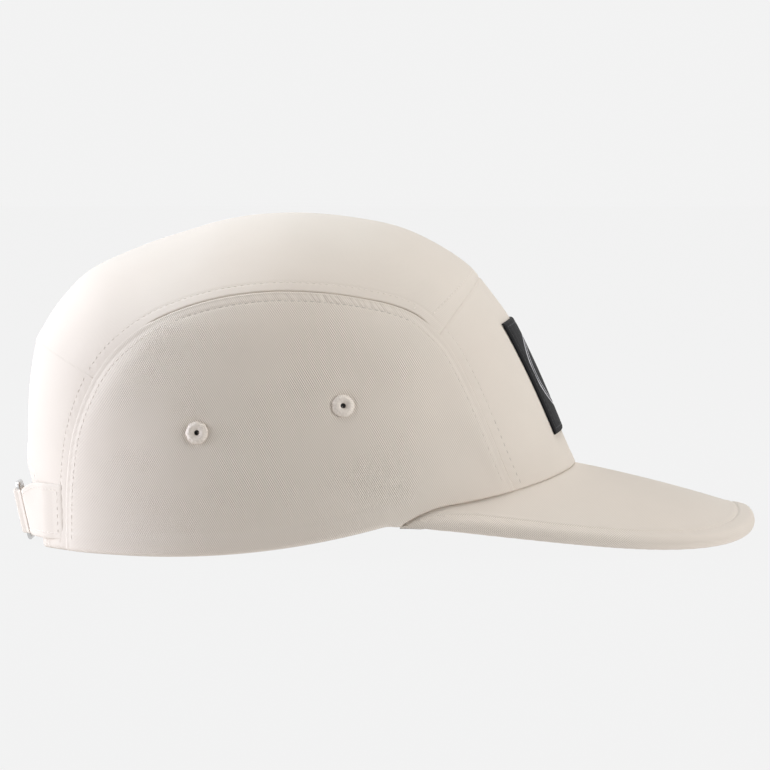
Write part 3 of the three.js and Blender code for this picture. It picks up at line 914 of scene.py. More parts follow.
    def back_shares(self, turn: Array, ring: Array) -> tuple[Array, Array]:
        """Place in the back strip of a ring laid round the arch.

        Args:
            turn: Share of the way round, from the right leg to the left.
            ring: Share from the seams to the opening.

        Returns:
            Shares along and across the strip.
        """
        leg, whole = 8.0, 28.0
        way = turn * whole
        top = whole - 2 * leg
        seam_along = np.maximum(1 - way / leg, np.maximum((way - leg - top) / leg, 0.0))
        seam_across = np.clip(2 * (way - leg) / top - 1, -1.0, 1.0)
        arch_across, arch_along = self.arch_shares()
        edge_along = 1 - (1 - arch_along) * np.sin(math.pi * turn)
        edge_across = -arch_across * np.cos(math.pi * turn)
        return mix(seam_along, edge_along, ring), mix(seam_across, edge_across, ring)

    def back_panel(self) -> Object:
        """Builds the panel with the arched opening."""
        turn = np.linspace(0, 1, 28 * 9 + 1)[:, None]
        ring = crowded(self.back_rings, 2.6, 3.0)[None, :]
        along, across = self.back_shares(turn, ring)
        points = self.back.point(along, across)
        ease = np.clip(1 - 8 * np.minimum(turn, 1 - turn), 0, 1)
        low = np.where(turn < 0.5, points[0, :, 2][None, :], points[-1, :, 2][None, :])
        points[..., 2] -= low * ease
        heights = self.top_seam.height(*self.side_gap(points), self.crease(points))
        for edge, hem in ((points[:, -1], self.arch_hem), (points[0], self.hem), (points[-1], self.hem)):
            heights += hem.height(Line(edge).near(points)[0])
        sewn = self.front.centre.length() + self.top.centre.length()
        flat = self.strip_flat(self.back, along, across, sewn)
        return self.cloth("back_panel_cloth", points, flat, heights)

    def side_place(self, u: Array, v: Array) -> Array:
        """A side panel's places seen from the side, blended from its rim and three seams.

        Args:
            u: Shares from front to back.
            v: Shares from the rim up.

        Returns:
            Points with Y = 0.
        """
        u, v = np.broadcast_arrays(u, v)
        front, back, top = self.front.edge.at(v), self.back.edge.at(1 - v), self.top.edge.at(u)
        front_corner, back_corner = self.front.edge.at(0.0), self.back.edge.at(1.0)
        x = mix(front_corner[0], back_corner[0], u)
        depth = self.form.side_depth(x, 0.12 * self.form.height)
        rim = np.stack([x, np.zeros_like(x), self.form.rim_height(x, depth)], axis=-1)
        u, v = u[..., None], v[..., None]
        blend = rim * (1 - v) + top * v + front * (1 - u) + back * u
        corners = front_corner * (1 - u) * (1 - v) + back_corner * u * (1 - v)
        return blend - corners - self.top.edge.at(0.0) * (1 - u) * v - self.top.edge.at(1.0) * u * v

    def side_flat(self, points: Array, side: int) -> Array:
        """Flat places of a side panel's cloth.

        Args:
            points: Places on the panel.
            side: -1 for the right, 1 for the left.

        Returns:
            Places in millimetres, with the first axis to the right of someone who looks at it.
        """
        low, half = 0.3 * self.form.height, self.form.length / 2
        x = np.linspace(-half, half, 800)
        round_way = lengths_along(self.form.side_point(x, np.full_like(x, low), side))
        z = np.linspace(0.0, self.form.height, 400)
        up_way = lengths_along(self.form.side_point(np.zeros_like(z), z, side))
        u = -side * np.interp(points[..., 0], x, round_way)
        return np.stack([u, np.interp(points[..., 2], z, up_way)], axis=-1)

    def side_columns_at(self) -> Array:
        """Shares from a side panel's front to its back, closest together where its cloth is gathered."""
        fine = np.linspace(0, 1, 2001)
        dense = 1 + 1.9 * smoothstep(0.18, 0.24, fine) * (1 - smoothstep(0.5, 0.56, fine))
        dense = dense + 1.2 * bell(np.minimum(fine, 1 - fine), 0.0, 0.04)
        return stations(dense, self.side_columns)

    def side_panel(self, side: int) -> Object:
        """Builds one side panel with its two eyelet holes.

        Args:
            side: -1 for the right, 1 for the left.

        Returns:
            The panel's object.
        """
        u = self.side_columns_at()[:, None]
        v = crowded(self.side_rows, 1.6, 4.0, 0.08)[None, :]
        place = self.side_place(u, v)
        points = self.form.side_point(place[..., 0], place[..., 2], side)
        seat = self.form.rim_height(points[:, 0, 0], points[:, 0, 1])
        points[..., 2] += (seat - points[:, 0, 2])[:, None] * np.clip(1 - v * 8, 0, 1)
        distance, way = self.seams[side].near(points)
        heights = self.pillow + self.side_seam.height(distance, way, self.crease(points))
        rim = Line(points[:, 0]).near(points)[0]
        on_peak = smoothstep(self.form.peak.start - 6, self.form.peak.start, points[..., 0])
        heights += mix(self.hem.height(rim), self.peak_hem.height(rim), on_peak)
        for dent in self.dents:
            heights += dent.at(points[..., 0], points[..., 2]) * smoothstep(1.0, 9.0, distance)
        heights += self.gathers(points, distance, way)
        name = "side_panel_right_cloth" if side < 0 else "side_panel_left_cloth"
        for _, x, z in self.eyelet_spots:
            from_hole = np.linalg.norm(points - self.form.side_point(x, z, side), axis=-1)
            heights -= self.eyelet_sink * bell(from_hole, 0.0, self.eyelet_sink_reach)
            heights -= self.eyelet_rim_depth * bell(from_hole, self.eyelet_rim, self.eyelet_rim_width)
        # How far the ribs stand out, which also sets how strong their painted light and shade are
        patches = 0.66 + 0.75 * ripple(points, 19.0, 2.2) + 0.35 * ripple(points, 8.0, 5.1)
        ribs = np.clip(patches, 0.3, 1.25) * (1 - 0.5 * bell(distance, 0.0, 4.5))
        ribs = ribs * mix(0.5, 1.0, smoothstep(8.0, 26.0, points[..., 2]))
        ribs = ribs * mix(1.0, 0.35, smoothstep(34.0, 52.0, points[..., 0]))
        obj = self.cloth(name, points, self.side_flat(points, side), heights, ribs)
        for _, x, z in self.eyelet_spots:
            drop_faces(obj, self.packed(self.form.side_point(x, z, side)), self.eyelet_cut * METRE)
        return obj

    def gathers(self, points: Array, distance: Array, way: Array) -> Array:
        """Slanted gathers between the top of the side seam and its stitch row, ahead of the middle.

        Args:
            points: Places on the side panel.
            distance: Distances from the seam.
            way: Ways along it.

        Returns:
            Heights above the plain cloth.
        """
        ahead = smoothstep(-8.0, 4.0, points[..., 0]) * (1 - smoothstep(32.0, 42.0, points[..., 0]))
        band = np.sin(math.pi * np.clip(distance / (1.25 * self.side_seam.row), 0, 1))
        high = smoothstep(0.6 * self.form.height, 0.7 * self.form.height, points[..., 2])
        wander = way + 0.75 * distance + 0.9 * np.sin(way / 2.9) + 0.5 * np.sin(way / 1.3 + distance)
        wave = 1 - 2 * np.abs(np.sin(math.pi * wander / self.gather_length))
        swell = 0.6 + 0.4 * ripple(points, 7.0, 1.7)
        return -self.gather_height * swell * ahead * band * high * wave

    def offset_row(self, side: int, offset: float, start: float, end: float) -> Array:
        """A line beside a side seam.

        Args:
            side: -1 for the right, 1 for the left.
            offset: Distance into the side panel.
            start: Share of the seam where the line starts.
            end: Share where it ends.

        Returns:
            Points in millimetres.
        """
        seam = self.seams[side]
        middle, reach, _ = self.form.plan(seam.points[:, 2])
        outward = seam.points - np.stack([middle + 0 * reach, 0 * reach, 0.6 * seam.points[:, 2]], axis=1)
        inward = unit(np.cross(seam.tangents, outward))
        heart = self.form.side_point(-0.05 * self.form.length, 0.35 * self.form.height, side)
        inward *= np.sign(((heart - seam.points) * inward).sum(axis=1, keepdims=True))
        ways = seam.way / seam.way[-1]
        chosen = (ways >= start) & (ways <= end)
        return (seam.points + inward * offset)[chosen]


@dataclass
class Peak:
    """The peak: a board in two cloth faces, with a puffy band outside its stitched groove."""

    crown: Crown
    rows: int = 320
    flat_columns: int = 40
    edge_columns: int = 34
    puff: float = 0.75
    groove: float = 0.55
    edge_share: float = 1.6
    puff_reach: float = 1.45
    groove_width: float = 0.6
    left_groove: float = 2.2
    roll_share: float = 0.58
    gather: float = 0.07
    gather_length: float = 4.6
    end_reach: float = 7.0

    def spokes(self, share: Array) -> tuple[Array, Array]:
        """Inner and outer ends of the lines that the peak is laid on, in plan.

        Args:
            share: Shares from the right end to the left end, -1 to 1.

        Returns:
            Inner and outer points.
        """
        form, peak = self.crown.form, self.crown.form.peak
        middle, reach, width = (float(value) for value in form.plan(peak.seat))
        end_depth = float(form.side_depth(peak.start, peak.seat / 2))
        last = math.atan2(end_depth - peak.tuck, peak.start - middle)
        turn = share * last
        radius = super_radius(turn, reach - peak.tuck, width - peak.tuck, form.roundness)
        inner = np.stack([middle + np.cos(turn) * radius, np.sin(turn) * radius], axis=-1)
        turn = share * math.pi / 2
        length = peak.crown_reach + peak.length - peak.start
        radius = super_radius(turn, length, peak.width / 2, peak.roundness)
        x, y = peak.start + np.cos(turn) * radius, np.sin(turn) * radius
        pull = np.maximum(1 - (x - peak.start) / (0.08 * peak.width), 0.0) ** 2
        y = y - np.sign(y) * pull * (peak.width / 2 - end_depth - form.gap)
        return inner, np.stack([x, y], axis=-1)

    def squeeze(self, width: Array) -> Array:
        """Narrows the band where the peak is slim."""
        return np.minimum(1.0, width / (2.8 * self.crown.form.peak.band))

    def lift(self, inset: Array, squeeze: Array, way: Array, share: Array) -> Array:
        """How far the cloth stands above the board's face.

        Args:
            inset: Distances in from the outline.
            squeeze: Width of the band as a share of the full one.
            way: Ways round the outline.
            share: Shares from the right end to the left end.

        Returns:
            Heights.
        """
        peak = self.crown.form.peak
        band = peak.band * squeeze
        across = np.clip(inset / (self.puff_reach * band), 0, 1)
        puff = self.puff * squeeze * np.sin(math.pi * np.sqrt(across))
        left_front = smoothstep(-0.02, 0.1, share) * (1 - smoothstep(0.3, 0.5, share))
        depth = self.groove * mix(1.0, self.left_groove, left_front)
        cut = depth * squeeze * bell(inset, band, self.groove_width)
        round_share = np.clip(1 - inset / (self.roll_share * peak.board), 0.0, 1.0)
        rolled = 0.5 * peak.board * (1 - np.sqrt(np.maximum(1 - round_share**2, 0.0)))
        wander = way + 3.0 * np.sin(way / 11.0)
        turn = 2 * math.pi * (wander + 0.6 * inset) / self.gather_length
        gather = self.gather * puff / self.puff * np.sin(turn)
        return puff - cut - rolled + gather * (1 - round_share)

    def surface(self, share: Array, inset: Array, upper: bool) -> Array:
        """Points on the peak's cloth.

        Args:
            share: Shares from the right end to the left end, as a column.
            inset: Distances in from the outline, one row for each share.
            upper: True for the top face.

        Returns:
            Points in millimetres.
        """
        peak = self.crown.form.peak
        inner, outer = self.spokes(share)
        way = lengths_along(outer[:, 0])[:, None]
        width = np.linalg.norm(outer - inner, axis=-1)
        spot = outer + (inner - outer) * (inset / width)[..., None]
        lift = self.lift(inset, self.squeeze(width), way, share)
        top = peak.top(spot[..., 0], spot[..., 1])
        whole = mix(1.0, peak.end_wall, peak.ending(spot[..., 0], self.end_reach))
        if upper:
            height = top + whole * lift
        else:
            low_line = peak.end_height - peak.end_slope * (spot[..., 0] - peak.start)
            height = np.maximum(top - whole * (peak.board + lift), low_line)
        return np.concatenate([spot, height[..., None]], axis=-1)

    def build(self) -> Object:
        """Builds the peak as one closed skin: top face, rolled edge and underside.

        Returns:
            The peak's object.
        """
        share = (2 * crowded(self.rows, 3.0, 3.0, 0.08) - 1)[:, None]
        inner, outer = self.spokes(share)
        width = np.linalg.norm(outer - inner, axis=-1)
        band = self.edge_share * self.crown.form.peak.band * self.squeeze(width)
        flat = np.linspace(0, 1, self.flat_columns, endpoint=False)[None, :]
        edge = (1 - np.linspace(0, 1, self.edge_columns + 1)) ** 1.8
        inset = np.concatenate([width - (width - band) * flat, band * edge[None, :]], axis=1)
        upper = self.surface(share, inset, True)
        lower = self.surface(share, inset, False)[:, ::-1]
        points = np.concatenate([upper, lower[:, 1:]], axis=1)
        spoke = unit(outer - inner)[:, 0]
        way = lengths_along(np.swapaxes(points, 0, 1)).T
        flat_place = (inner + spoke[:, None, :] * way[..., None]) * np.array([1.0, -1.0])
        swell = 0.12 * ripple(points, 26.0, 3.1)
        points[..., 2] += swell * np.where(np.arange(points.shape[1]) < upper.shape[1], 1, -1)[None, :] * 0.6
        from_band = inset / (self.crown.form.peak.band * self.squeeze(width))
        outer_band = np.clip(1.4 - from_band, 0.0, 0.35) / 0.35
        # How far the ribs stand out on the band, which also sets how strong their painted light and shade are
        patches = np.clip(0.55 + 0.6 * ripple(points, 21.0, 4.4), 0.25, 0.95)
        patches = 1.15 * patches * mix(1.0, 0.1, smoothstep(108.0, 126.0, points[..., 0]))
        ribs = mix(0.12, patches, np.concatenate([outer_band, outer_band[:, -2::-1]], axis=1))
        points = np.concatenate([points, points[:, :1]], axis=1)
        flat_place = np.concatenate([flat_place, flat_place[:, -1:] + self.crown.form.peak.board], axis=1)
        ribs = np.concatenate([ribs, ribs[:, -1:]], axis=1)
        obj = grid_object("peak_cloth", points, flat_place, self.crown.shift, ribs)
        close_skin(obj, True)
        self.crown.skins[obj.name] = skin_of(obj)
        return obj

    def row(self, upper: bool) -> Array:
        """The stitch row in the groove.

        Args:
            upper: True for the top face.

        Returns:
            Points in millimetres.
        """
        share = np.linspace(-0.985, 0.985, 500)[:, None]
        inner, outer = self.spokes(share)
        width = np.linalg.norm(outer - inner, axis=-1)
        inset = self.crown.form.peak.band * self.squeeze(width)
        return self.surface(share, inset, upper)[:, 0]


def super_radius(angle: Array, reach: float, width: float, roundness: float) -> Array:
    """Radius of a superellipse with its half length, half width and exponent, in a direction."""
    across, up = np.abs(np.cos(angle) / reach) ** roundness, np.abs(np.sin(angle) / width) ** roundness
    return (across + up) ** (-1 / roundness)


def close_skin(obj: Object, split: bool) -> None:
    """Joins a rolled-up skin along its seam, closes its two ends and turns its faces out.

    Args:
        obj: The skin.
        split: Whether the faces at its ends are cut into triangles.
    """
    bm = bmesh.new()
    bm.from_mesh(obj.data)
    bmesh.ops.remove_doubles(bm, verts=bm.verts, dist=1e-6)
    bmesh.ops.holes_fill(bm, edges=[edge for edge in bm.edges if edge.is_boundary], sides=0)
    bmesh.ops.recalc_face_normals(bm, faces=bm.faces)
    if split:
        bmesh.ops.triangulate(bm, faces=[face for face in bm.faces if len(face.verts) > 4])
    bm.to_mesh(obj.data)
    bm.free()


@dataclass
class Patch:
    """The woven label on the front panel, with folded ends."""

    crown: Crown
    width: float = 49.6
    taper: float = 0.05
    height: float = 45.0
    wall: float = 0.8
    rise: float = 13.4
    edge: float = 1.5
    row: float = 2.1
    row_depth: float = 0.16
    row_width: float = 0.5
    fold_rise: float = 0.18
    fold_start: float = 5.0
    fold_end: float = 6.2
    thickness: float = 0.45
    columns: int = 84
    rows: int = 76

    def place(self, across: Array, up: Array, lift: Array) -> Array:
        """Points over the front panel.

        Args:
            across: Distances to the left of the middle.
            up: Distances above the patch's lower edge.
            lift: Heights above the panel.

        Returns:
            Points in millimetres.
        """
        strip = self.crown.front
        share = (self.rise + up) / strip.centre.length()
        along = strip.centre.shares_by_length(share)
        sideways = strip.across_at(along, across)
        points = strip.point(along, sideways)
        step = 0.002
        ahead = strip.point(along + step, sideways) - points
        side = strip.point(along, sideways + step) - points
        normals = unit(np.cross(side, ahead))
        outward = np.sign((normals * (points - self.crown.inside)).sum(axis=-1, keepdims=True))
        return points + normals * outward * lift[..., None]

    def build(self) -> Object:
        """Builds the label with its rolled edges and folded ends.

        Returns:
            The label's object.
        """
        u = crowded(self.columns, 3.0, 3.0, 0.07)[None, :]
        v = crowded(self.rows, 3.0, 3.0, 0.07)[:, None]
        u, v = np.broadcast_arrays(u, v)
        from_ends = np.minimum(u, 1 - u) * self.width
        from_low = np.minimum(v, 1 - v) * self.height
        nearest = np.minimum(from_ends, from_low)
        share = np.clip(1 - nearest / self.edge, 0, 1)
        lift = self.crown.form.gap + self.wall * np.sqrt(np.maximum(1 - share**2, 0.0))
        lift += self.fold_rise * (1 - smoothstep(self.fold_start, self.fold_end, from_ends)) * (1 - share)
        lift -= self.row_depth * bell(nearest, self.row, self.row_width)
        across, up = (u - 0.5) * self.width * (1 - self.taper * (1 - v)), v * self.height
        lift += 0.1 * np.sin(across / 3.1) * bell(from_low, 0.0, 4.0) * (1 - share)
        points = self.place(across, up, lift)
        obj = grid_object("front_patch_label", points, np.stack([across, up], axis=-1), self.crown.shift)
        face_out(obj, self.crown.packed(self.crown.inside))
        self.crown.skins[obj.name] = skin_of(obj)
        add_wall(obj, self.thickness)
        return obj

    def stitch_line(self) -> Array:
        """The stitch row round the label.

        Returns:
            Points in millimetres.
        """
        x, low, high = self.width / 2 - self.row, self.row, self.height - self.row
        narrow = x * (1 - self.taper)
        corners = [(-narrow, low), (narrow, low), (x, high), (-x, high), (-narrow, low)]
        path = np.concatenate([np.linspace(a, b, 60) for a, b in zip(corners, corners[1:])])
        lift = np.full(len(path), self.crown.form.gap + self.wall)
        return self.place(path[:, 0], path[:, 1], lift)


@dataclass
class Eyelets:
    """Four vent holes bound with thread."""

    crown: Crown
    width: float = 7.9
    hole: float = 1.7
    bore_end: float = 0.12
    barrel: float = 4.4
    rise: float = 1.1
    stand: float = 0.4
    wraps: int = 34
    steps: int = 170

    def profile(self) -> list[tuple[float, float]]:
        """Half section of the ring: distance from the axis, and height above the cloth."""
        flange, bore, gap = self.width / 2, self.hole / 2, self.crown.form.gap
        back = -self.crown.form.wall - gap
        low = gap - 0.75
        middle = (flange + bore) / 2 + 0.25
        return [
            (self.bore_end, back), (self.barrel / 2, back), (self.barrel / 2, low), (flange - 0.25, low),
            (flange, low + 0.3), (flange - 0.12, low + 0.75), (flange - 0.5, low + 1.15),
            (flange - 1.1, low + 1.45), (middle, low + 1.55), (middle - 0.75, low + 1.35),
            (bore + 0.4, low + 1.1), (bore + 0.1, low + 0.75), (bore, low + 0.35), (bore - 0.05, low - 0.1),
        ]

    def build(self, word: str, side: int, x: float, z: float) -> Object:
        """Builds one eyelet.

        Args:
            word: Name of its place.
            side: -1 for the right, 1 for the left.
            x: Its place forward.
            z: Its height.

        Returns:
            The eyelet's object.
        """
        bm = bmesh.new()
        ring = [bm.verts.new((r, 0, h)) for r, h in self.profile()]
        edges = [bm.edges.new((a, b)) for a, b in zip(ring, ring[1:] + ring[:1])]
        bmesh.ops.spin(
            bm, geom=ring + edges, cent=(0, 0, 0), axis=(0, 0, 1), angle=2 * math.pi,
            steps=self.steps, use_merge=True, use_duplicate=False,
        )
        bmesh.ops.remove_doubles(bm, verts=bm.verts, dist=0.001)
        bmesh.ops.recalc_face_normals(bm, faces=bm.faces)
        form = self.crown.form
        # The hole's walls get the painted shade.
        shade = bm.verts.layers.float.new(BORE_SHADE)
        for vert in bm.verts:
            inner = math.hypot(vert.co.x, vert.co.y) < self.hole / 2 + 0.05
            vert[shade] = 1.0 if inner and vert.co.z < self.crown.form.gap - 0.3 else 0.0
            self.wrap(vert)
        centre = form.side_point(x, z, side)
        step = 0.05
        ahead = form.side_point(x + step, z, side) - form.side_point(x - step, z, side)
        up = form.side_point(x, z + step, side) - form.side_point(x, z - step, side)
        normal = Vector(np.cross(ahead, up)).normalized() * -side
        turn = Vector((0, 0, 1)).rotation_difference(normal)
        bmesh.ops.rotate(bm, verts=bm.verts, matrix=turn.to_matrix())
        bmesh.ops.translate(bm, verts=bm.verts, vec=Vector(centre) + normal * self.stand)
        bmesh.ops.scale(bm, verts=bm.verts, vec=(METRE, METRE, METRE))
        bmesh.ops.translate(bm, verts=bm.verts, vec=(self.crown.shift, 0, 0))
        return object_from(bm, f"eyelet_thread_{word}")

    def wrap(self, vert: bmesh.types.BMVert) -> None:
        """Presses the thread's turns into one point of the ring.

        Args:
            vert: The point, with the ring still on its own axis.
        """
        radius = math.hypot(vert.co.x, vert.co.y)
        angle = math.atan2(vert.co.y, vert.co.x)
        outer = float(smoothstep(self.hole / 2, self.width / 2, radius))
        turn = self.wraps * angle + 1.2 * math.sin(5 * angle) + 0.8 * outer
        swell = abs(math.sin(turn / 2)) - 0.6
        uneven = noise.noise(Vector((math.cos(angle), math.sin(angle), 0.3)) * 3.0)
        if vert.co.z > -0.3 * self.crown.form.wall:
            vert.co.z += (0.16 * swell + 0.1 * uneven) * (0.4 + 0.6 * outer)
        if radius > 0.8 * self.width / 2:
            stretch = 1 + (0.16 * swell + 0.22 * uneven) / radius
            vert.co.x *= stretch
            vert.co.y *= stretch


def object_from(bm: bmesh.types.BMesh, name: str) -> Object:
    """Turns a finished bmesh into a smooth object.

    Args:
        bm: The bmesh, which is freed.
        name: Name of the object.

    Returns:
        The object.
    """
    mesh = bpy.data.meshes.new(name)
    for face in bm.faces:
        face.smooth = True
    bm.to_mesh(mesh)
    bm.free()
    return linked(name, mesh)


@dataclass
class Fastening:
    """The back strap's two ends and the three-bar slide between them."""

    crown: Crown
    width: float = 20.0
    neck: float = 16.0
    wall: float = 1.1
    reach: float = 45.0
    tail: float = 17.0
    fold: float = 12.0
    lift: float = 11.0
    rise: float = 2.4
    sink: float = 2.4
    slide_height: float = 21.4
    slide_width: float = 15.0
    slide_wall: float = 1.4
    bar: float = 2.2
    slope: float = 0.22
    end_taper: float = 2.2
    end_thin: float = 0.25
    wrinkle: float = 0.1
    wrinkle_length: float = 2.1
    rounding: float = 0.55
    row_share: float = 0.385
    steps: int = 260

    def __post_init__(self) -> None:
        """Works out the layers, as distances out from the strap's base line."""
        gap = self.crown.form.gap
        self.tail_layer = gap + self.wall / 2
        self.sewn_layer = -0.1 * self.wall
        self.end_layer = -0.3 * self.wall
        self.fold_layer = self.tail_layer + self.wall + gap
        self.plate_layer = self.fold_layer + self.wall / 2 + gap + self.slide_wall / 2
        self.outer_layer = self.plate_layer + self.slide_wall / 2 + gap + self.wall / 2
        self.slot = (self.slide_width - 3 * self.bar) / 2

    def crown_at(self, y: float) -> float:
        """Outermost place of the back panel over the strap's height."""
        along = np.array([1, 0.9, 0.8, 0.7, 0.6, 0.5])
        across = self.crown.back.across_at(along, np.full(6, float(y)))
        return float(self.crown.back.point(along, across)[:, 0].min())

    def base(self, y: float) -> float:
        """Base line of the strap in plan: on the crown beside the arch, drawn in across it.

        Args:
            y: Place to the left.

        Returns:
            Place forward.
        """
        leg = self.crown.form.arch_width / 2 + 2
        if abs(y) >= leg:
            return self.crown_at(y)
        drawn = self.crown_at(0.0) + self.sink
        return float(mix(drawn, self.crown_at(leg), (abs(y) / leg) ** 2.6))

    def lean(self, points: Array) -> Array:
        """Leans the strap and the slide outwards at the top, most at the middle.

        Args:
            points: Places in millimetres.

        Returns:
            The leaning places.
        """
        half_arch = self.crown.form.arch_width / 2
        share = 1 - smoothstep(self.slide_width, half_arch, np.abs(points[..., 1]))
        leaned = points.copy()
        leaned[..., 0] -= self.slope * share * (points[..., 2] - self.lift)
        return leaned

    def hug(self, y: Array, z: Array) -> Array:
        """Way from the base line to the back panel at each height, so that a sewn end lies on it.

        Args:
            y: Places to the left, one for each row.
            z: Heights, rows by columns.

        Returns:
            Distances forward.
        """
        along = np.linspace(1.0, 0.3, 16)
        found = np.zeros(z.shape)
        for row, place in enumerate(y):
            panel = self.crown.back.point(along, self.crown.back.across_at(along, np.full(16, float(place))))
            found[row] = np.interp(z[row], panel[:, 2], panel[:, 0]) - self.base(float(place))
        return found

    def spread(self, y: Array) -> tuple[Array, Array]:
        """How far the strap has widened from the slide to its sewn end, and its width."""
        widen = smoothstep(self.slide_width * 0.8, self.crown.form.arch_width / 2, np.abs(y))
        return widen, mix(self.neck, self.width, widen)

    def section(self) -> Array:
        """Round the strap's section once, as shares of its width and of its wall."""
        flat = np.concatenate([[-0.5, -0.485, -0.46], np.linspace(-0.43, 0.43, 16), [0.46, 0.485, 0.5]])
        edge = np.clip((0.5 - np.abs(flat)) / 0.06, 0, 1)
        row = bell(0.5 - np.abs(flat), 0.115, 0.02)
        thick = 0.5 * np.sqrt(np.clip(1 - (1 - edge) ** 2, 0, 1)) - 0.1 * row
        front = np.stack([flat, thick], axis=1)
        back = np.stack([flat[::-1][1:-1], -thick[::-1][1:-1]], axis=1)
        return np.concatenate([front, back, front[:1]])

    def strap(self, name: str, route: Sequence[tuple[float, float]]) -> Object:
        """Builds one strap end along its route in plan.

        Args:
            name: Name of the object.
            route: Stops, each a place across the back and a layer.

        Returns:
            The strap's object.
        """
        line = Curve([(self.base(y) - layer, y, 0.0) for y, layer in route])
        share = line.shares_by_length(np.linspace(0, 1, self.steps + 1))
        middle = line.at(share)
        tangent = unit(np.gradient(middle, axis=0))
        out = np.stack([tangent[:, 1], -tangent[:, 0], np.zeros(len(tangent))], axis=1)
        widen, width = self.spread(middle[:, 1])
        section = self.section()
        way = lengths_along(middle)
        from_end = np.clip(np.minimum(way, way[-1] - way) / (self.end_taper * self.wall), 0.0, 1.0)
        wall = self.wall * np.maximum(np.sqrt(1 - (1 - from_end) ** 2), self.end_thin)
        points = middle[:, None, :] + out[:, None, :] * (section[None, :, 1:] * wall[:, None, None])
        points[..., 2] = self.lift + self.rise * widen[:, None] + width[:, None] * section[None, :, 0]
        points[..., 0] += widen[:, None] * self.hug(middle[:, 1], points[..., 2])
        wave = self.wrinkle * np.sin(way / self.wrinkle_length)
        wrinkle = wave[:, None] * (0.25 - section[None, :, 0] ** 2)
        points = self.lean(points + out[:, None, :] * wrinkle[..., None])
        loop = lengths_along(np.stack([section[:, 0] * self.width, section[:, 1] * self.wall], axis=1))
        flat = np.stack(np.broadcast_arrays(way[:, None], loop[None, :]), axis=-1)
        obj = grid_object(name, points, flat, self.crown.shift)
        close_skin(obj, False)
        obj.data.polygons.foreach_set("use_smooth", [len(face.vertices) <= 4 for face in obj.data.polygons])
        self.crown.skins[name] = skin_of(obj)
        return obj

    def left(self) -> Object:
        """Builds the end that threads over the middle bar and ends in a tail inside."""
        wall, inner, plate = self.wall, self.tail_layer, self.plate_layer
        slot = self.bar / 2 + self.crown.form.gap + wall * 0.65
        half_arch = self.crown.form.arch_width / 2
        near, far = self.outer_layer - wall * 0.35, self.outer_layer + wall * 0.1
        return self.strap("strap_cloth_left", [
            (self.reach, self.end_layer), (self.reach - 4, self.sewn_layer),
            (half_arch + 4, inner), (half_arch / 2 + 6, inner),
            (self.slide_width * 0.75, inner), (slot + self.slot * 0.5, inner),
            (slot, plate), (slot - wall * 0.15, near), (slot * 0.35, far),
            (-slot * 0.35, far), (wall * 0.15 - slot, near), (-slot, plate),
            (-slot - self.slot * 0.35, inner + wall * 0.1),
            (-self.tail * 0.7, inner), (-self.tail, inner),
        ])

    def right(self) -> Object:
        """Builds the end that passes under the slide's end bar and is folded back over it."""
        wall, under, outer = self.wall, self.fold_layer, self.outer_layer
        outside = self.slide_width / 2
        slot = outside - self.bar - self.crown.form.gap - wall * 0.65
        return self.strap("strap_cloth_right", [
            (-self.reach, self.end_layer), (4 - self.reach, self.sewn_layer),
            (-self.crown.form.arch_width / 2 - 4, self.tail_layer),
            (-self.tail - 6, self.tail_layer + wall * 0.4), (-self.tail + 0.5, under),
            (-outside, under), (-slot - wall * 0.8, under), (-slot - wall * 0.15, under + wall * 0.35),
            (-slot, self.plate_layer), (-slot - wall * 0.15, outer - wall * 0.35),
            (-slot - wall * 0.8, outer + wall * 0.1), (-outside, outer),
            (-outside - 2.2, under + wall * 1.3), (-self.fold, under + wall * 0.75),
        ])

    def slide(self) -> Object:
        """Builds the metal slide: a plate with two slots and rounded edges.

        Returns:
            The slide's object.
        """
        curve = bpy.data.curves.new("slide", "CURVE")
        curve.dimensions = "2D"
        curve.fill_mode = "BOTH"
        bevel = self.rounding
        curve.extrude = (self.slide_wall / 2 - bevel) * METRE
        curve.bevel_depth = bevel * METRE
        curve.bevel_resolution = 3
        curve.resolution_u = 8
        width, height = self.slide_width - 2 * bevel, self.slide_height - 2 * bevel
        add_rounded(curve, 0.0, width, height, 1.7)
        middle = (self.slot + self.bar) / 2
        for side in (-1, 1):
            slot_height = self.slide_height - 2 * self.bar
            add_rounded(curve, side * middle, self.slot + 2 * bevel, slot_height + 2 * bevel, 0.9)
        holder = linked("slide", curve)
        depsgraph = bpy.context.evaluated_depsgraph_get()
        mesh = bpy.data.meshes.new_from_object(holder.evaluated_get(depsgraph))
        bpy.data.objects.remove(holder)
        bm = bmesh.new()
        bm.from_mesh(mesh)
        bmesh.ops.remove_doubles(bm, verts=bm.verts, dist=1e-6)
        bmesh.ops.subdivide_edges(
            bm, edges=[e for e in bm.edges if e.calc_length() > 2.5 * METRE], cuts=4, use_grid_fill=True
        )
        bmesh.ops.recalc_face_normals(bm, faces=bm.faces)
        home = self.base(0.0) - self.plate_layer
        for vert in bm.verts:
            across, up, out = vert.co / METRE
            vert.co = self.crown.packed(self.lean(np.array([home - out, across, self.lift + up])))
        bmesh.ops.recalc_face_normals(bm, faces=bm.faces)
        return object_from(bm, "slide_buckle_metal")

    def edge_rows(self, side: int) -> list[Array]:
        """Stitch rows along both edges of a strap's outer face, from its sewn end to the slide.

        Args:
            side: -1 for the right, 1 for the left.

        Returns:
            Lines in millimetres.
        """
        y = side * np.linspace(self.reach - 1.2, 0.6 * self.slide_width, 90)
        widen, width = self.spread(y)
        x = np.array([self.base(value) for value in y]) - self.tail_layer - 1.5 * self.wall
        rows = []
        for edge in (-1, 1):
            z = self.lift + self.rise * widen + edge * width * self.row_share
            rows.append(self.lean(np.stack([x, y, z], axis=1)))
        end_z = self.lift + self.rise + np.linspace(-0.4, 0.4, 30) * self.width
        end_y = np.full(30, side * (self.reach - 1.6))
        end_x = np.full(30, self.base(side * self.reach) - self.tail_layer - self.wall)
        rows.append(np.stack([end_x, end_y, end_z], axis=1))
        return rows


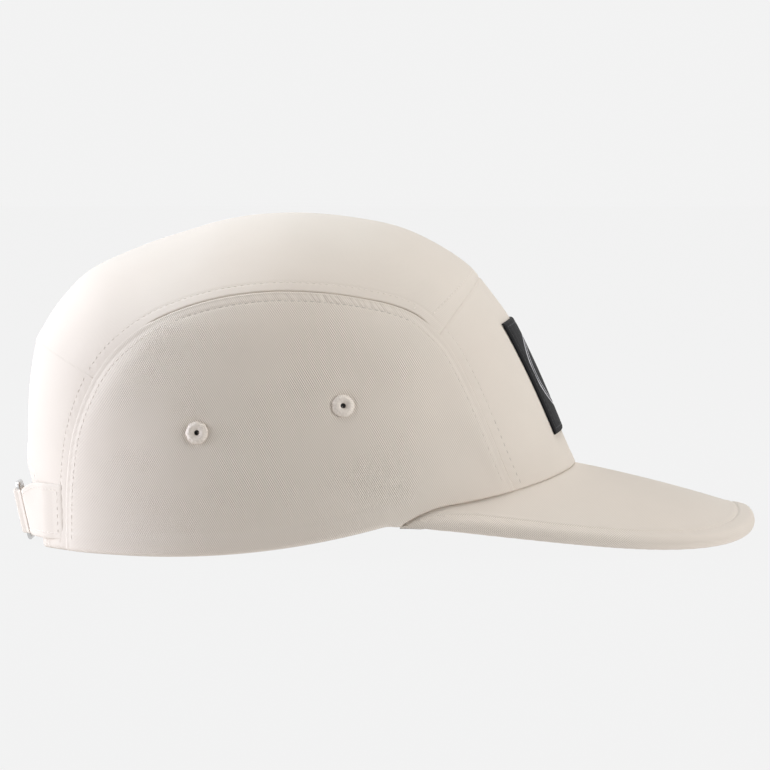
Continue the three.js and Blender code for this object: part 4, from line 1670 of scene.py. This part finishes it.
def add_rounded(curve: bpy.types.Curve, middle: float, width: float, height: float, radius: float) -> None:
    """Adds a rectangle with round corners to a flat curve.

    Args:
        curve: The curve.
        middle: Middle of the rectangle, across.
        width: Width in millimetres.
        height: Height in millimetres.
        radius: Radius of its corners.
    """
    spline = curve.splines.new("POLY")
    points = []
    for quarter, (side, end) in enumerate([(1, -1), (1, 1), (-1, 1), (-1, -1)]):
        for step in range(7):
            angle = math.radians(-90 + 90 * quarter + 15 * step)
            x = middle + side * (width / 2 - radius) + radius * math.cos(angle)
            y = end * (height / 2 - radius) + radius * math.sin(angle)
            points.append((x * METRE, y * METRE))
    spline.points.add(len(points) - 1)
    for point, (x, y) in zip(spline.points, points):
        point.co = (x, y, 0, 1)
    spline.use_cyclic_u = True


@dataclass
class NodeSheet:
    """Adds and links shader nodes in a material's tree or in a node group."""

    tree: NodeTree

    def add(self, kind: str, inputs: dict[str | int, object] | None = None, **settings: object) -> Node:
        """Adds a node.

        Args:
            kind: Its type, without the ShaderNode before it.
            inputs: What its inputs get, by name or number.
            settings: Its settings, which are made first.

        Returns:
            The node.
        """
        node = self.tree.nodes.new(kind if kind.startswith("Node") else "ShaderNode" + kind)
        for name, value in settings.items():
            setattr(node, name, value)
        self.fill(node, inputs or {})
        return node

    def feed(self, socket: NodeSocket, value: object) -> None:
        """Links a socket, or sets its number or colour.

        Args:
            socket: The input.
            value: An output socket, a number or a tuple.
        """
        if isinstance(value, NodeSocket):
            self.tree.links.new(value, socket)
        else:
            socket.default_value = (*value, 1.0) if socket.type == "RGBA" else value

    def fill(self, node: Node, inputs: dict[str | int, object]) -> None:
        """Feeds several inputs of a node, by name or number."""
        for name, value in inputs.items():
            self.feed(node.inputs[name], value)

    def math(self, operation: str, first: object, second: object = 0.0) -> NodeSocket:
        """Result of a Math node on two values."""
        return self.add("Math", {0: first, 1: second}, operation=operation).outputs[0]

    def vector(self, operation: str, first: object, second: object) -> Node:
        """Vector Math node on two vectors."""
        return self.add("VectorMath", {0: first, 1: second}, operation=operation)

    def noise(self, place: object, scale: float, detail: float = 2.0) -> NodeSocket:
        """Value of a noise texture at a place."""
        return self.add("TexNoise", {"Vector": place, "Scale": scale, "Detail": detail}).outputs["Fac"]

    def span(self, value: object, low: float, high: float) -> NodeSocket:
        """Value that goes from low to high while another goes from 0 to 1."""
        return self.add("MapRange", {"Value": value, "To Min": low, "To Max": high}).outputs["Result"]

    def bump(self, shader: Node, height: object, strength: float, depth: float) -> None:
        """Gives a shader a bump, with the depth in metres that height 1 stands for."""
        node = self.add("Bump", {"Strength": strength, "Distance": depth, "Height": height})
        self.feed(shader.inputs["Normal"], node.outputs["Normal"])

    def grey(self, tone: object) -> NodeSocket:
        """Grey colour of a tone."""
        return self.add("CombineColor", {"Red": tone, "Green": tone, "Blue": tone}).outputs["Color"]

    def blend(self, share: object, first: object, second: object, how: str = "MIX") -> NodeSocket:
        """Colour mixed from two, with a share of the second."""
        node = self.add("Mix", {"Factor": share, "A": first, "B": second}, data_type="RGBA", blend_type=how)
        return next(socket for socket in node.outputs if socket.type == "RGBA")


class Effect(Enum):
    """Shader node groups that several finishes share."""

    TWILL = "twill_weave"
    SOFTNESS = "cloth_softness"
    TWIST = "thread_twist"
    WEAR = "metal_wear"


def new_group(
    effect: Effect, inputs: dict[str, str], outputs: dict[str, str]
) -> tuple[NodeSheet, dict[str, NodeSocket], dict[str, NodeSocket]]:
    """Starts a node group with named sockets.

    Args:
        effect: Which group.
        inputs: Names and kinds of its inputs, Float or Vector.
        outputs: Names and kinds of its outputs.

    Returns:
        Its sheet, its input values by name, and its output sockets by name.
    """
    tree = bpy.data.node_groups.new(effect.value, "ShaderNodeTree")
    for name, kind in inputs.items():
        tree.interface.new_socket(name=name, in_out="INPUT", socket_type="NodeSocket" + kind)
    for name, kind in outputs.items():
        tree.interface.new_socket(name=name, in_out="OUTPUT", socket_type="NodeSocket" + kind)
    sheet = NodeSheet(tree)
    entry, result = sheet.add("NodeGroupInput"), sheet.add("NodeGroupOutput")
    ins = {name: entry.outputs[name] for name in inputs}
    outs = {name: result.inputs[name] for name in outputs}
    return sheet, ins, outs


def twill_group() -> NodeTree:
    """Slanted ribs of a twill, broken up by the threads that cross them.

    Returns:
        The group: Place, Across, Crossing, Wale and Depth in, Height out.
    """
    sheet, ins, outs = new_group(
        Effect.TWILL,
        {"Place": "Vector", "Across": "Vector", "Crossing": "Vector", "Wale": "Float", "Depth": "Float"},
        {"Height": "Float"},
    )
    drift = sheet.span(sheet.noise(ins["Place"], 0.05, 1.0), -0.7, 0.7)
    waves = []
    for direction, wale in ((ins["Across"], 1.0), (ins["Crossing"], 0.94)):
        way = sheet.vector("DOT_PRODUCT", ins["Place"], direction).outputs["Value"]
        turns = sheet.math("DIVIDE", way, sheet.math("MULTIPLY", ins["Wale"], wale))
        waves.append(sheet.math("SINE", sheet.math("MULTIPLY", sheet.math("ADD", turns, drift), 2 * math.pi)))
    fibre = sheet.span(sheet.noise(ins["Place"], 2.6, 2.0), -0.2, 0.2)
    height = sheet.math("ADD", waves[0], sheet.math("MULTIPLY", waves[1], 0.34))
    height = sheet.math("MULTIPLY", sheet.math("ADD", height, fibre), ins["Depth"])
    height = sheet.math("ADD", sheet.math("MULTIPLY", height, 0.34), 0.5)
    sheet.feed(outs["Height"], height)
    return sheet.tree


def softness_group() -> NodeTree:
    """Broad, faint changes of tone over cloth.

    Returns:
        The group: Place in, Tone and Warmth out.
    """
    sheet, ins, outs = new_group(Effect.SOFTNESS, {"Place": "Vector"}, {"Tone": "Float", "Warmth": "Float"})
    sheet.feed(outs["Tone"], sheet.noise(ins["Place"], 34.0, 3.0))
    moved = sheet.vector("ADD", ins["Place"], (3.0, 1.0, 2.0)).outputs["Vector"]
    sheet.feed(outs["Warmth"], sheet.noise(moved, 22.0, 1.0))
    return sheet.tree


def twist_group() -> NodeTree:
    """Fine plies of sewing thread.

    Returns:
        The group: Place in, Height out.
    """
    sheet, ins, outs = new_group(Effect.TWIST, {"Place": "Vector"}, {"Height": "Float"})
    fine = sheet.noise(ins["Place"], 5200.0, 2.0)
    broad = sheet.noise(ins["Place"], 1500.0, 1.0)
    sheet.feed(outs["Height"], sheet.math("ADD", sheet.math("MULTIPLY", fine, 0.6), broad))
    return sheet.tree


def wear_group() -> NodeTree:
    """Fine scratches and dull spots on plated metal.

    Returns:
        The group: Place in, Scratch and Dull out.
    """
    sheet, ins, outs = new_group(Effect.WEAR, {"Place": "Vector"}, {"Scratch": "Float", "Dull": "Float"})
    stretched = sheet.vector("MULTIPLY", ins["Place"], (1.0, 9.0, 1.0)).outputs["Vector"]
    sheet.feed(outs["Scratch"], sheet.noise(stretched, 420.0, 4.0))
    sheet.feed(outs["Dull"], sheet.noise(ins["Place"], 160.0, 3.0))
    return sheet.tree


GROUP_MAKERS = {
    Effect.TWILL: twill_group,
    Effect.SOFTNESS: softness_group,
    Effect.TWIST: twist_group,
    Effect.WEAR: wear_group,
}


def placed_group(sheet: NodeSheet, effect: Effect, inputs: dict[str, object]) -> Node:
    """Puts a shared group into a material, and builds the group the first time."""
    tree = bpy.data.node_groups.get(effect.value) or GROUP_MAKERS[effect]()
    return sheet.add("Group", inputs, node_tree=tree)


def start_material(name: str) -> tuple[Material, NodeSheet, Node]:
    """Starts a material with one Principled shader.

    Args:
        name: Its name.

    Returns:
        The material, its sheet and its shader.
    """
    material = bpy.data.materials.new(name)
    material.use_nodes = True
    shader = material.node_tree.nodes["Principled BSDF"]
    return material, NodeSheet(material.node_tree), shader


@dataclass(frozen=True)
class TwillFinish:
    """Off-white cotton twill."""

    name: str = "cotton_twill_cloth"
    # light and shade are the ribs' crests and valleys: painted light on the crests and painted shade in the
    # valleys, besides the bump
    light: Triple = (1.0, 0.905, 0.818)
    shade: Triple = (0.4, 0.352, 0.305)
    wale: float = 0.668
    angle: float = 32.0
    depth: float = 0.0001
    strength: float = 1.0
    roughness: float = 0.9
    sheen: float = 0.12

    def material(self) -> Material:
        """Builds the material.

        Returns:
            The material.
        """
        material, sheet, shader = start_material(self.name)
        flat = sheet.add("UVMap", uv_map=WEAVE_MAP).outputs["UV"]
        turn = math.radians(self.angle)
        across, crossing = (math.cos(turn), math.sin(turn), 0.0), (math.cos(turn), -math.sin(turn), 0.0)
        depth = sheet.add("Attribute", attribute_name=RIB_DEPTH).outputs["Fac"]
        inputs = {"Place": flat, "Across": across, "Crossing": crossing, "Wale": self.wale, "Depth": depth}
        twill = placed_group(sheet, Effect.TWILL, inputs).outputs["Height"]
        place = sheet.add("TexCoord").outputs["Object"]
        soft = placed_group(sheet, Effect.SOFTNESS, {"Place": place})
        # Painted light on the ribs and painted shade between them, by the ribs' height
        colour = sheet.blend(twill, self.shade, self.light)
        tone = sheet.span(soft.outputs["Tone"], 0.955, 1.035)
        warm = sheet.blend(soft.outputs["Warmth"], (1.0, 0.985, 0.975), (0.985, 1.0, 0.995))
        colour = sheet.blend(1.0, colour, warm, "MULTIPLY")
        sheet.feed(shader.inputs["Base Color"], sheet.blend(1.0, colour, sheet.grey(tone), "MULTIPLY"))
        sheet.bump(shader, twill, self.strength, self.depth)
        sheet.fill(shader, {
            "Roughness": sheet.span(twill, 0.96, self.roughness - 0.06),
            "Sheen Weight": self.sheen, "Sheen Roughness": 0.6, "Specular IOR Level": 0.18,
        })
        return material


@dataclass(frozen=True)
class ThreadFinish:
    """Sewing or embroidery thread."""

    name: str
    light: Triple = (0.79, 0.715, 0.645)
    shade: Triple = (0.63, 0.565, 0.5)
    # Colour of the painted shade down an eyelet's hole.
    bore: Triple = (0.012, 0.01, 0.009)
    strength: float = 0.6
    depth: float = 0.00008
    roughness: float = 0.7
    sheen: float = 0.15

    def material(self) -> Material:
        """Builds the material.

        Returns:
            The material.
        """
        material, sheet, shader = start_material(self.name)
        place = sheet.add("TexCoord").outputs["Object"]
        twist = placed_group(sheet, Effect.TWIST, {"Place": place}).outputs["Height"]
        share = sheet.span(twist, 0.1, 1.0)
        colour = sheet.blend(share, self.shade, self.light)
        # Paints shade down an eyelet's hole, where the attribute is 1.
        bore = sheet.add("Attribute", attribute_name=BORE_SHADE).outputs["Fac"]
        colour = sheet.blend(bore, colour, self.bore)
        sheet.feed(shader.inputs["Base Color"], colour)
        sheet.bump(shader, twist, self.strength, self.depth)
        sheet.fill(shader, {
            "Roughness": sheet.span(twist, self.roughness + 0.08, self.roughness - 0.08),
            "Sheen Weight": self.sheen, "Specular IOR Level": 0.3,
        })
        return material


@dataclass(frozen=True)
class LabelFinish:
    """Black woven label with a plain trim: one oval ring inside another."""

    name: str = "patch_weave_cloth"
    ground: Triple = (0.005, 0.005, 0.006)
    worn: Triple = (0.014, 0.013, 0.014)
    thread: Triple = (0.78, 0.77, 0.81)
    rib: float = 0.42
    middle: float = 23.5
    ring_width: float = 18.5
    ring_height: float = 14.0
    ring_line: float = 0.03
    inner_ring: float = 0.86
    inner_line: float = 0.018
    trim_height: float = 1.4
    strength: float = 0.7
    depth: float = 0.00012

    def trim(self, sheet: NodeSheet, u: object, v: object) -> NodeSocket:
        """Mask of the trim.

        Args:
            sheet: The material's sheet.
            u: Place across the label.
            v: Place up from its middle.

        Returns:
            1 on the trim's thread, 0 on the ground.
        """
        wide = sheet.math("POWER", sheet.math("DIVIDE", u, self.ring_width), 2.0)
        high = sheet.math("POWER", sheet.math("DIVIDE", v, self.ring_height), 2.0)
        out = sheet.math("SQRT", sheet.math("ADD", wide, high))
        rings = []
        for radius, line in ((1.0, self.ring_line), (self.inner_ring, self.inner_line)):
            off = sheet.math("ABSOLUTE", sheet.math("SUBTRACT", out, radius))
            rings.append(sheet.math("LESS_THAN", off, line))
        return sheet.math("MAXIMUM", *rings)

    def material(self) -> Material:
        """Builds the material.

        Returns:
            The material.
        """
        material, sheet, shader = start_material(self.name)
        flat = sheet.add("UVMap", uv_map=WEAVE_MAP).outputs["UV"]
        parts = sheet.add("SeparateXYZ")
        sheet.feed(parts.inputs[0], flat)
        u, v = parts.outputs["X"], parts.outputs["Y"]
        trim = self.trim(sheet, u, sheet.math("SUBTRACT", v, self.middle))
        ribs = sheet.math("SINE", sheet.math("MULTIPLY", v, 2 * math.pi / self.rib))
        row = sheet.math("FLOOR", sheet.math("DIVIDE", v, self.rib))
        shifted = sheet.math("ADD", sheet.math("DIVIDE", u, 1.5 * self.rib), sheet.math("MULTIPLY", row, 0.5))
        picks = sheet.math("SINE", sheet.math("MULTIPLY", shifted, 2 * math.pi))
        weave = sheet.math("ADD", sheet.math("MULTIPLY", ribs, 0.3), sheet.math("MULTIPLY", picks, 0.2))
        weave = sheet.math("ADD", weave, 0.5)
        fuzz = sheet.noise(flat, 1.4, 3.0)
        lightened = sheet.math("MULTIPLY", weave, fuzz)
        ground = sheet.blend(lightened, self.ground, self.worn)
        bright = sheet.blend(weave, tuple(0.6 * c for c in self.thread), self.thread)
        sheet.feed(shader.inputs["Base Color"], sheet.blend(trim, ground, bright))
        height = sheet.math("ADD", weave, sheet.math("MULTIPLY", trim, self.trim_height))
        sheet.bump(shader, height, self.strength, self.depth)
        rough = sheet.span(fuzz, 0.62, 0.86)
        sheet.fill(shader, {"Roughness": rough, "Sheen Weight": 0.02, "Specular IOR Level": 0.15})
        return material


@dataclass(frozen=True)
class MetalFinish:
    """Polished nickel plate with light wear."""

    name: str = "buckle_steel_plate"
    colour: Triple = (0.72, 0.72, 0.73)
    worn: Triple = (0.5, 0.49, 0.48)
    roughness: float = 0.2
    strength: float = 0.15
    depth: float = 0.00003

    def material(self) -> Material:
        """Builds the material.

        Returns:
            The material.
        """
        material, sheet, shader = start_material(self.name)
        place = sheet.add("TexCoord").outputs["Object"]
        wear = placed_group(sheet, Effect.WEAR, {"Place": place})
        dull = sheet.span(wear.outputs["Dull"], -0.6, 1.1)
        sheet.feed(shader.inputs["Base Color"], sheet.blend(dull, self.colour, self.worn))
        shader.inputs["Metallic"].default_value = 1.0
        rough = sheet.math("ADD", sheet.math("MULTIPLY", dull, 0.1), self.roughness)
        sheet.feed(shader.inputs["Roughness"], rough)
        sheet.bump(shader, wear.outputs["Scratch"], self.strength, self.depth)
        return material


@dataclass(frozen=True)
class Lamp:
    """A soft round light: where it stands and how wide it is, in metres, its watts and its colour."""

    name: str
    place: Triple
    size: float
    power: float
    colour: Triple


@dataclass
class Studio:
    """Floor, pale surroundings, soft lights and the camera."""

    distance: float = 1.4
    elevation: float = 2.8
    frame_width: float = 0.2828
    target: Triple = (0.0008, 0.0, 0.0567)
    floor_reach: float = 60.0
    floor_paint: float = 0.006
    floor_glow: float = 0.885
    world_tone: float = 0.892
    world_light: float = 0.0
    lamps: tuple[Lamp, ...] = (
        Lamp("light_back_left", (-1.17, 0.53, 0.96), 0.9, 10.8, (0.84, 1.0, 1.12)),
        Lamp("light_back_low", (-1.5, 0.1, 0.3), 0.7, 17.5, (0.97, 1.0, 1.15)),
        Lamp("light_left", (-1.35, -0.47, 0.47), 0.7, 4.0, (1.0, 0.99, 0.98)),
        Lamp("light_top", (0.0, 0.15, 1.5), 1.0, 13.8, (0.99, 1.0, 1.0)),
        Lamp("light_front", (1.3, -0.65, 0.62), 0.9, 14.9, (0.99, 1.0, 1.0)),
    )

    def floor(self) -> Object:
        """Builds the pale floor, lit evenly from below like a light table.

        Returns:
            The floor.
        """
        bm = bmesh.new()
        bmesh.ops.create_grid(bm, x_segments=8, y_segments=8, size=self.floor_reach)
        floor = object_from(bm, "studio_floor")
        material, sheet, shader = start_material("studio_floor_paint")
        place = sheet.add("TexCoord").outputs["Object"]
        cloud = sheet.span(sheet.noise(place, 0.8, 1.0), 0.98, 1.02)
        sheet.fill(shader, {
            "Base Color": sheet.grey(sheet.math("MULTIPLY", cloud, self.floor_paint)), "Roughness": 1.0,
            "Specular IOR Level": 0.0, "Emission Color": WHITE, "Emission Strength": self.floor_glow,
        })
        floor.data.materials.append(material)
        return floor

    def world(self) -> None:
        """Sets the pale surroundings, which light cloth only faintly."""
        world = bpy.data.worlds.new("studio_world")
        world.use_nodes = True
        sheet = NodeSheet(world.node_tree)
        matt = sheet.add("LightPath").outputs["Is Diffuse Ray"]
        background = world.node_tree.nodes["Background"]
        strength = sheet.span(matt, self.world_tone, self.world_light)
        sheet.fill(background, {"Color": WHITE, "Strength": strength})
        bpy.context.scene.world = world

    def light(self, lamp: Lamp) -> None:
        """Adds a lamp that looks at the cap.

        Args:
            lamp: The lamp.
        """
        data = bpy.data.lights.new(lamp.name, "AREA")
        data.shape = "DISK"
        data.size = lamp.size
        data.energy = lamp.power
        data.color = lamp.colour
        obj = linked(lamp.name, data)
        obj.location = lamp.place
        aim = Vector(self.target) - Vector(lamp.place)
        obj.rotation_euler = aim.to_track_quat("-Z", "Y").to_euler()

    def camera(self) -> None:
        """Sets the camera where the photograph was taken."""
        data = bpy.data.cameras.new("camera")
        data.angle = 2 * math.atan(self.frame_width / 2 / self.distance)
        data.clip_start = 0.05
        camera = linked("camera", data)
        tilt = math.radians(self.elevation)
        away = Vector((0.0, -math.cos(tilt), math.sin(tilt))) * self.distance
        camera.location = Vector(self.target) + away
        camera.rotation_euler = (math.radians(90) - tilt, 0.0, 0.0)
        bpy.context.scene.camera = camera

    def build(self) -> None:
        """Builds the whole studio."""
        self.floor()
        self.world()
        for lamp in self.lamps:
            self.light(lamp)
        self.camera()
        bpy.context.scene.view_settings.view_transform = "Standard"


def crown_thread(crown: Crown, sewing: Stitching) -> dict[str, list[Array]]:
    """Places the stitches of the crown's seams.

    Args:
        crown: The crown.
        sewing: How the thread lies.

    Returns:
        Placing matrices by the name of the stitched piece.
    """
    rows = {name: [] for name in STITCHED}
    share = np.linspace(0, 1, 400)
    taut = replace(sewing, proud=-0.03)
    for side, word in SIDES:
        name, tight_name = f"seam_stitches_{word}", f"tight_stitches_{word}"
        parts = (
            (tight_name, crown.front, "front_panel_cloth", 0.02, 0.42, replace(taut, pitch=2.7)),
            (name, crown.front, "front_panel_cloth", 0.43, 0.97, sewing),
            (name, crown.top, "top_panel_cloth", 0.12, 0.99, sewing),
            (name, crown.back, "back_panel_cloth", 0.02, 0.97, sewing),
        )
        for piece, strip, cloth, start, end, thread in parts:
            along = mix(start, end, share)
            line = strip.point(along, side * (1 - crown.top_seam.row / strip.half_arc(along)))
            rows[piece].append(thread.places(line, crown, cloth))
        end = crown.top.point(np.full(60, 0.12), side * np.linspace(0.95, 0.99, 60))
        rows[name].append(sewing.places(end, crown, "top_panel_cloth"))
        line = crown.offset_row(side, crown.side_seam.row, 0.02, 0.985)
        tight = np.flatnonzero(crown.crease(line) > 0.5)
        first, last = tight[0], tight[-1]
        for piece, part, thread in ((name, line[:first], sewing), (name, line[last:], sewing),
                                    (tight_name, line[first:last], taut)):
            rows[piece].append(thread.places(part, crown, f"side_panel_{word}_cloth"))
    front_along = np.interp(crown.cross_seam.row, lengths_along(crown.top.centre.at(share)), share)
    line = crown.top.point(np.full(400, front_along), np.linspace(-0.93, 0.93, 400))
    rows["cross_stitches"].append(sewing.places(line, crown, "top_panel_cloth"))
    turn = np.linspace(0.015, 0.985, 400)
    edge = crown.back.point(*crown.back_shares(turn, np.ones(400)))
    inner = crown.back.point(*crown.back_shares(turn, np.full(400, 0.8)))
    line = edge + unit(inner - edge) * crown.arch_hem.row
    rows["cross_stitches"].append(sewing.places(line, crown, "back_panel_cloth"))
    return rows


def main() -> None:
    """Builds the cap's classes in order and the studio round it."""
    logging.basicConfig(level=logging.INFO, format="%(message)s")
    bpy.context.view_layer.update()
    studio = Studio()
    studio.build()
    twill = TwillFinish().material()
    thread = ThreadFinish("cotton_thread").material()
    # Thread for the sunk rows over the ears: its darker colour is painted shade from the seam's crease.
    tight_thread = ThreadFinish("tight_thread", (0.56, 0.5, 0.445), (0.42, 0.375, 0.33)).material()
    black_thread = ThreadFinish("label_thread", (0.03, 0.03, 0.033), (0.008, 0.008, 0.009)).material()
    label = LabelFinish().material()
    metal = MetalFinish().material()

    crown = Crown()
    panels = [crown.front_panel(), crown.top_panel(), crown.back_panel()]
    panels += [crown.side_panel(side) for side, _ in SIDES]
    for panel in panels:
        add_wall(panel, crown.form.wall - 0.1)
    peak, patch, eyelets, fastening = Peak(crown), Patch(crown), Eyelets(crown), Fastening(crown)
    panels.append(peak.build())
    pieces = [(panel, twill, "cotton_twill", panel.name.removesuffix("_cloth")) for panel in panels]
    pieces.append((patch.build(), label, "patch_weave", "front_patch"))
    for side, word in SIDES:
        for name, x, z in crown.eyelet_spots:
            ring = eyelets.build(f"{word}_{name}", side, x, z)
            pieces.append((ring, thread, "eyelet_thread", f"eyelet_{word}_{name}"))
    pieces.append((fastening.left(), twill, "cotton_twill", "strap_left"))
    pieces.append((fastening.right(), twill, "cotton_twill", "strap_right"))
    pieces.append((fastening.slide(), metal, "buckle_steel", "slide_buckle"))

    sewing = Stitching()
    rows = crown_thread(crown, sewing)
    for upper in (True, False):
        rows["peak_stitches"].append(sewing.places(peak.row(upper), crown, "peak_cloth"))
    for side, word in reversed(SIDES):
        for line in fastening.edge_rows(side):
            rows["strap_stitches"].append(sewing.places(line, crown, f"strap_cloth_{word}"))
    for name, places in rows.items():
        # The sunk rows over the ears get the thread with painted shade.
        material = tight_thread if name.startswith("tight") else thread
        pieces.append((sewing.build(name, places), material, "eyelet_thread"))
    small = Stitching(pitch=2.0, stitch=1.6, width=0.4)
    places = small.places(patch.stitch_line(), crown, "front_patch_label")
    pieces.append((small.build("patch_stitches", [places]), black_thread, "patch_weave"))

    for obj, material, slot, *nodes in pieces:
        obj.data.materials.append(material)
        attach(obj, "root")
        if nodes:
            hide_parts(*nodes)
        LOG.info("built %s: %d faces", obj.name, len(obj.data.polygons))


if __name__ == "__main__":
    main()
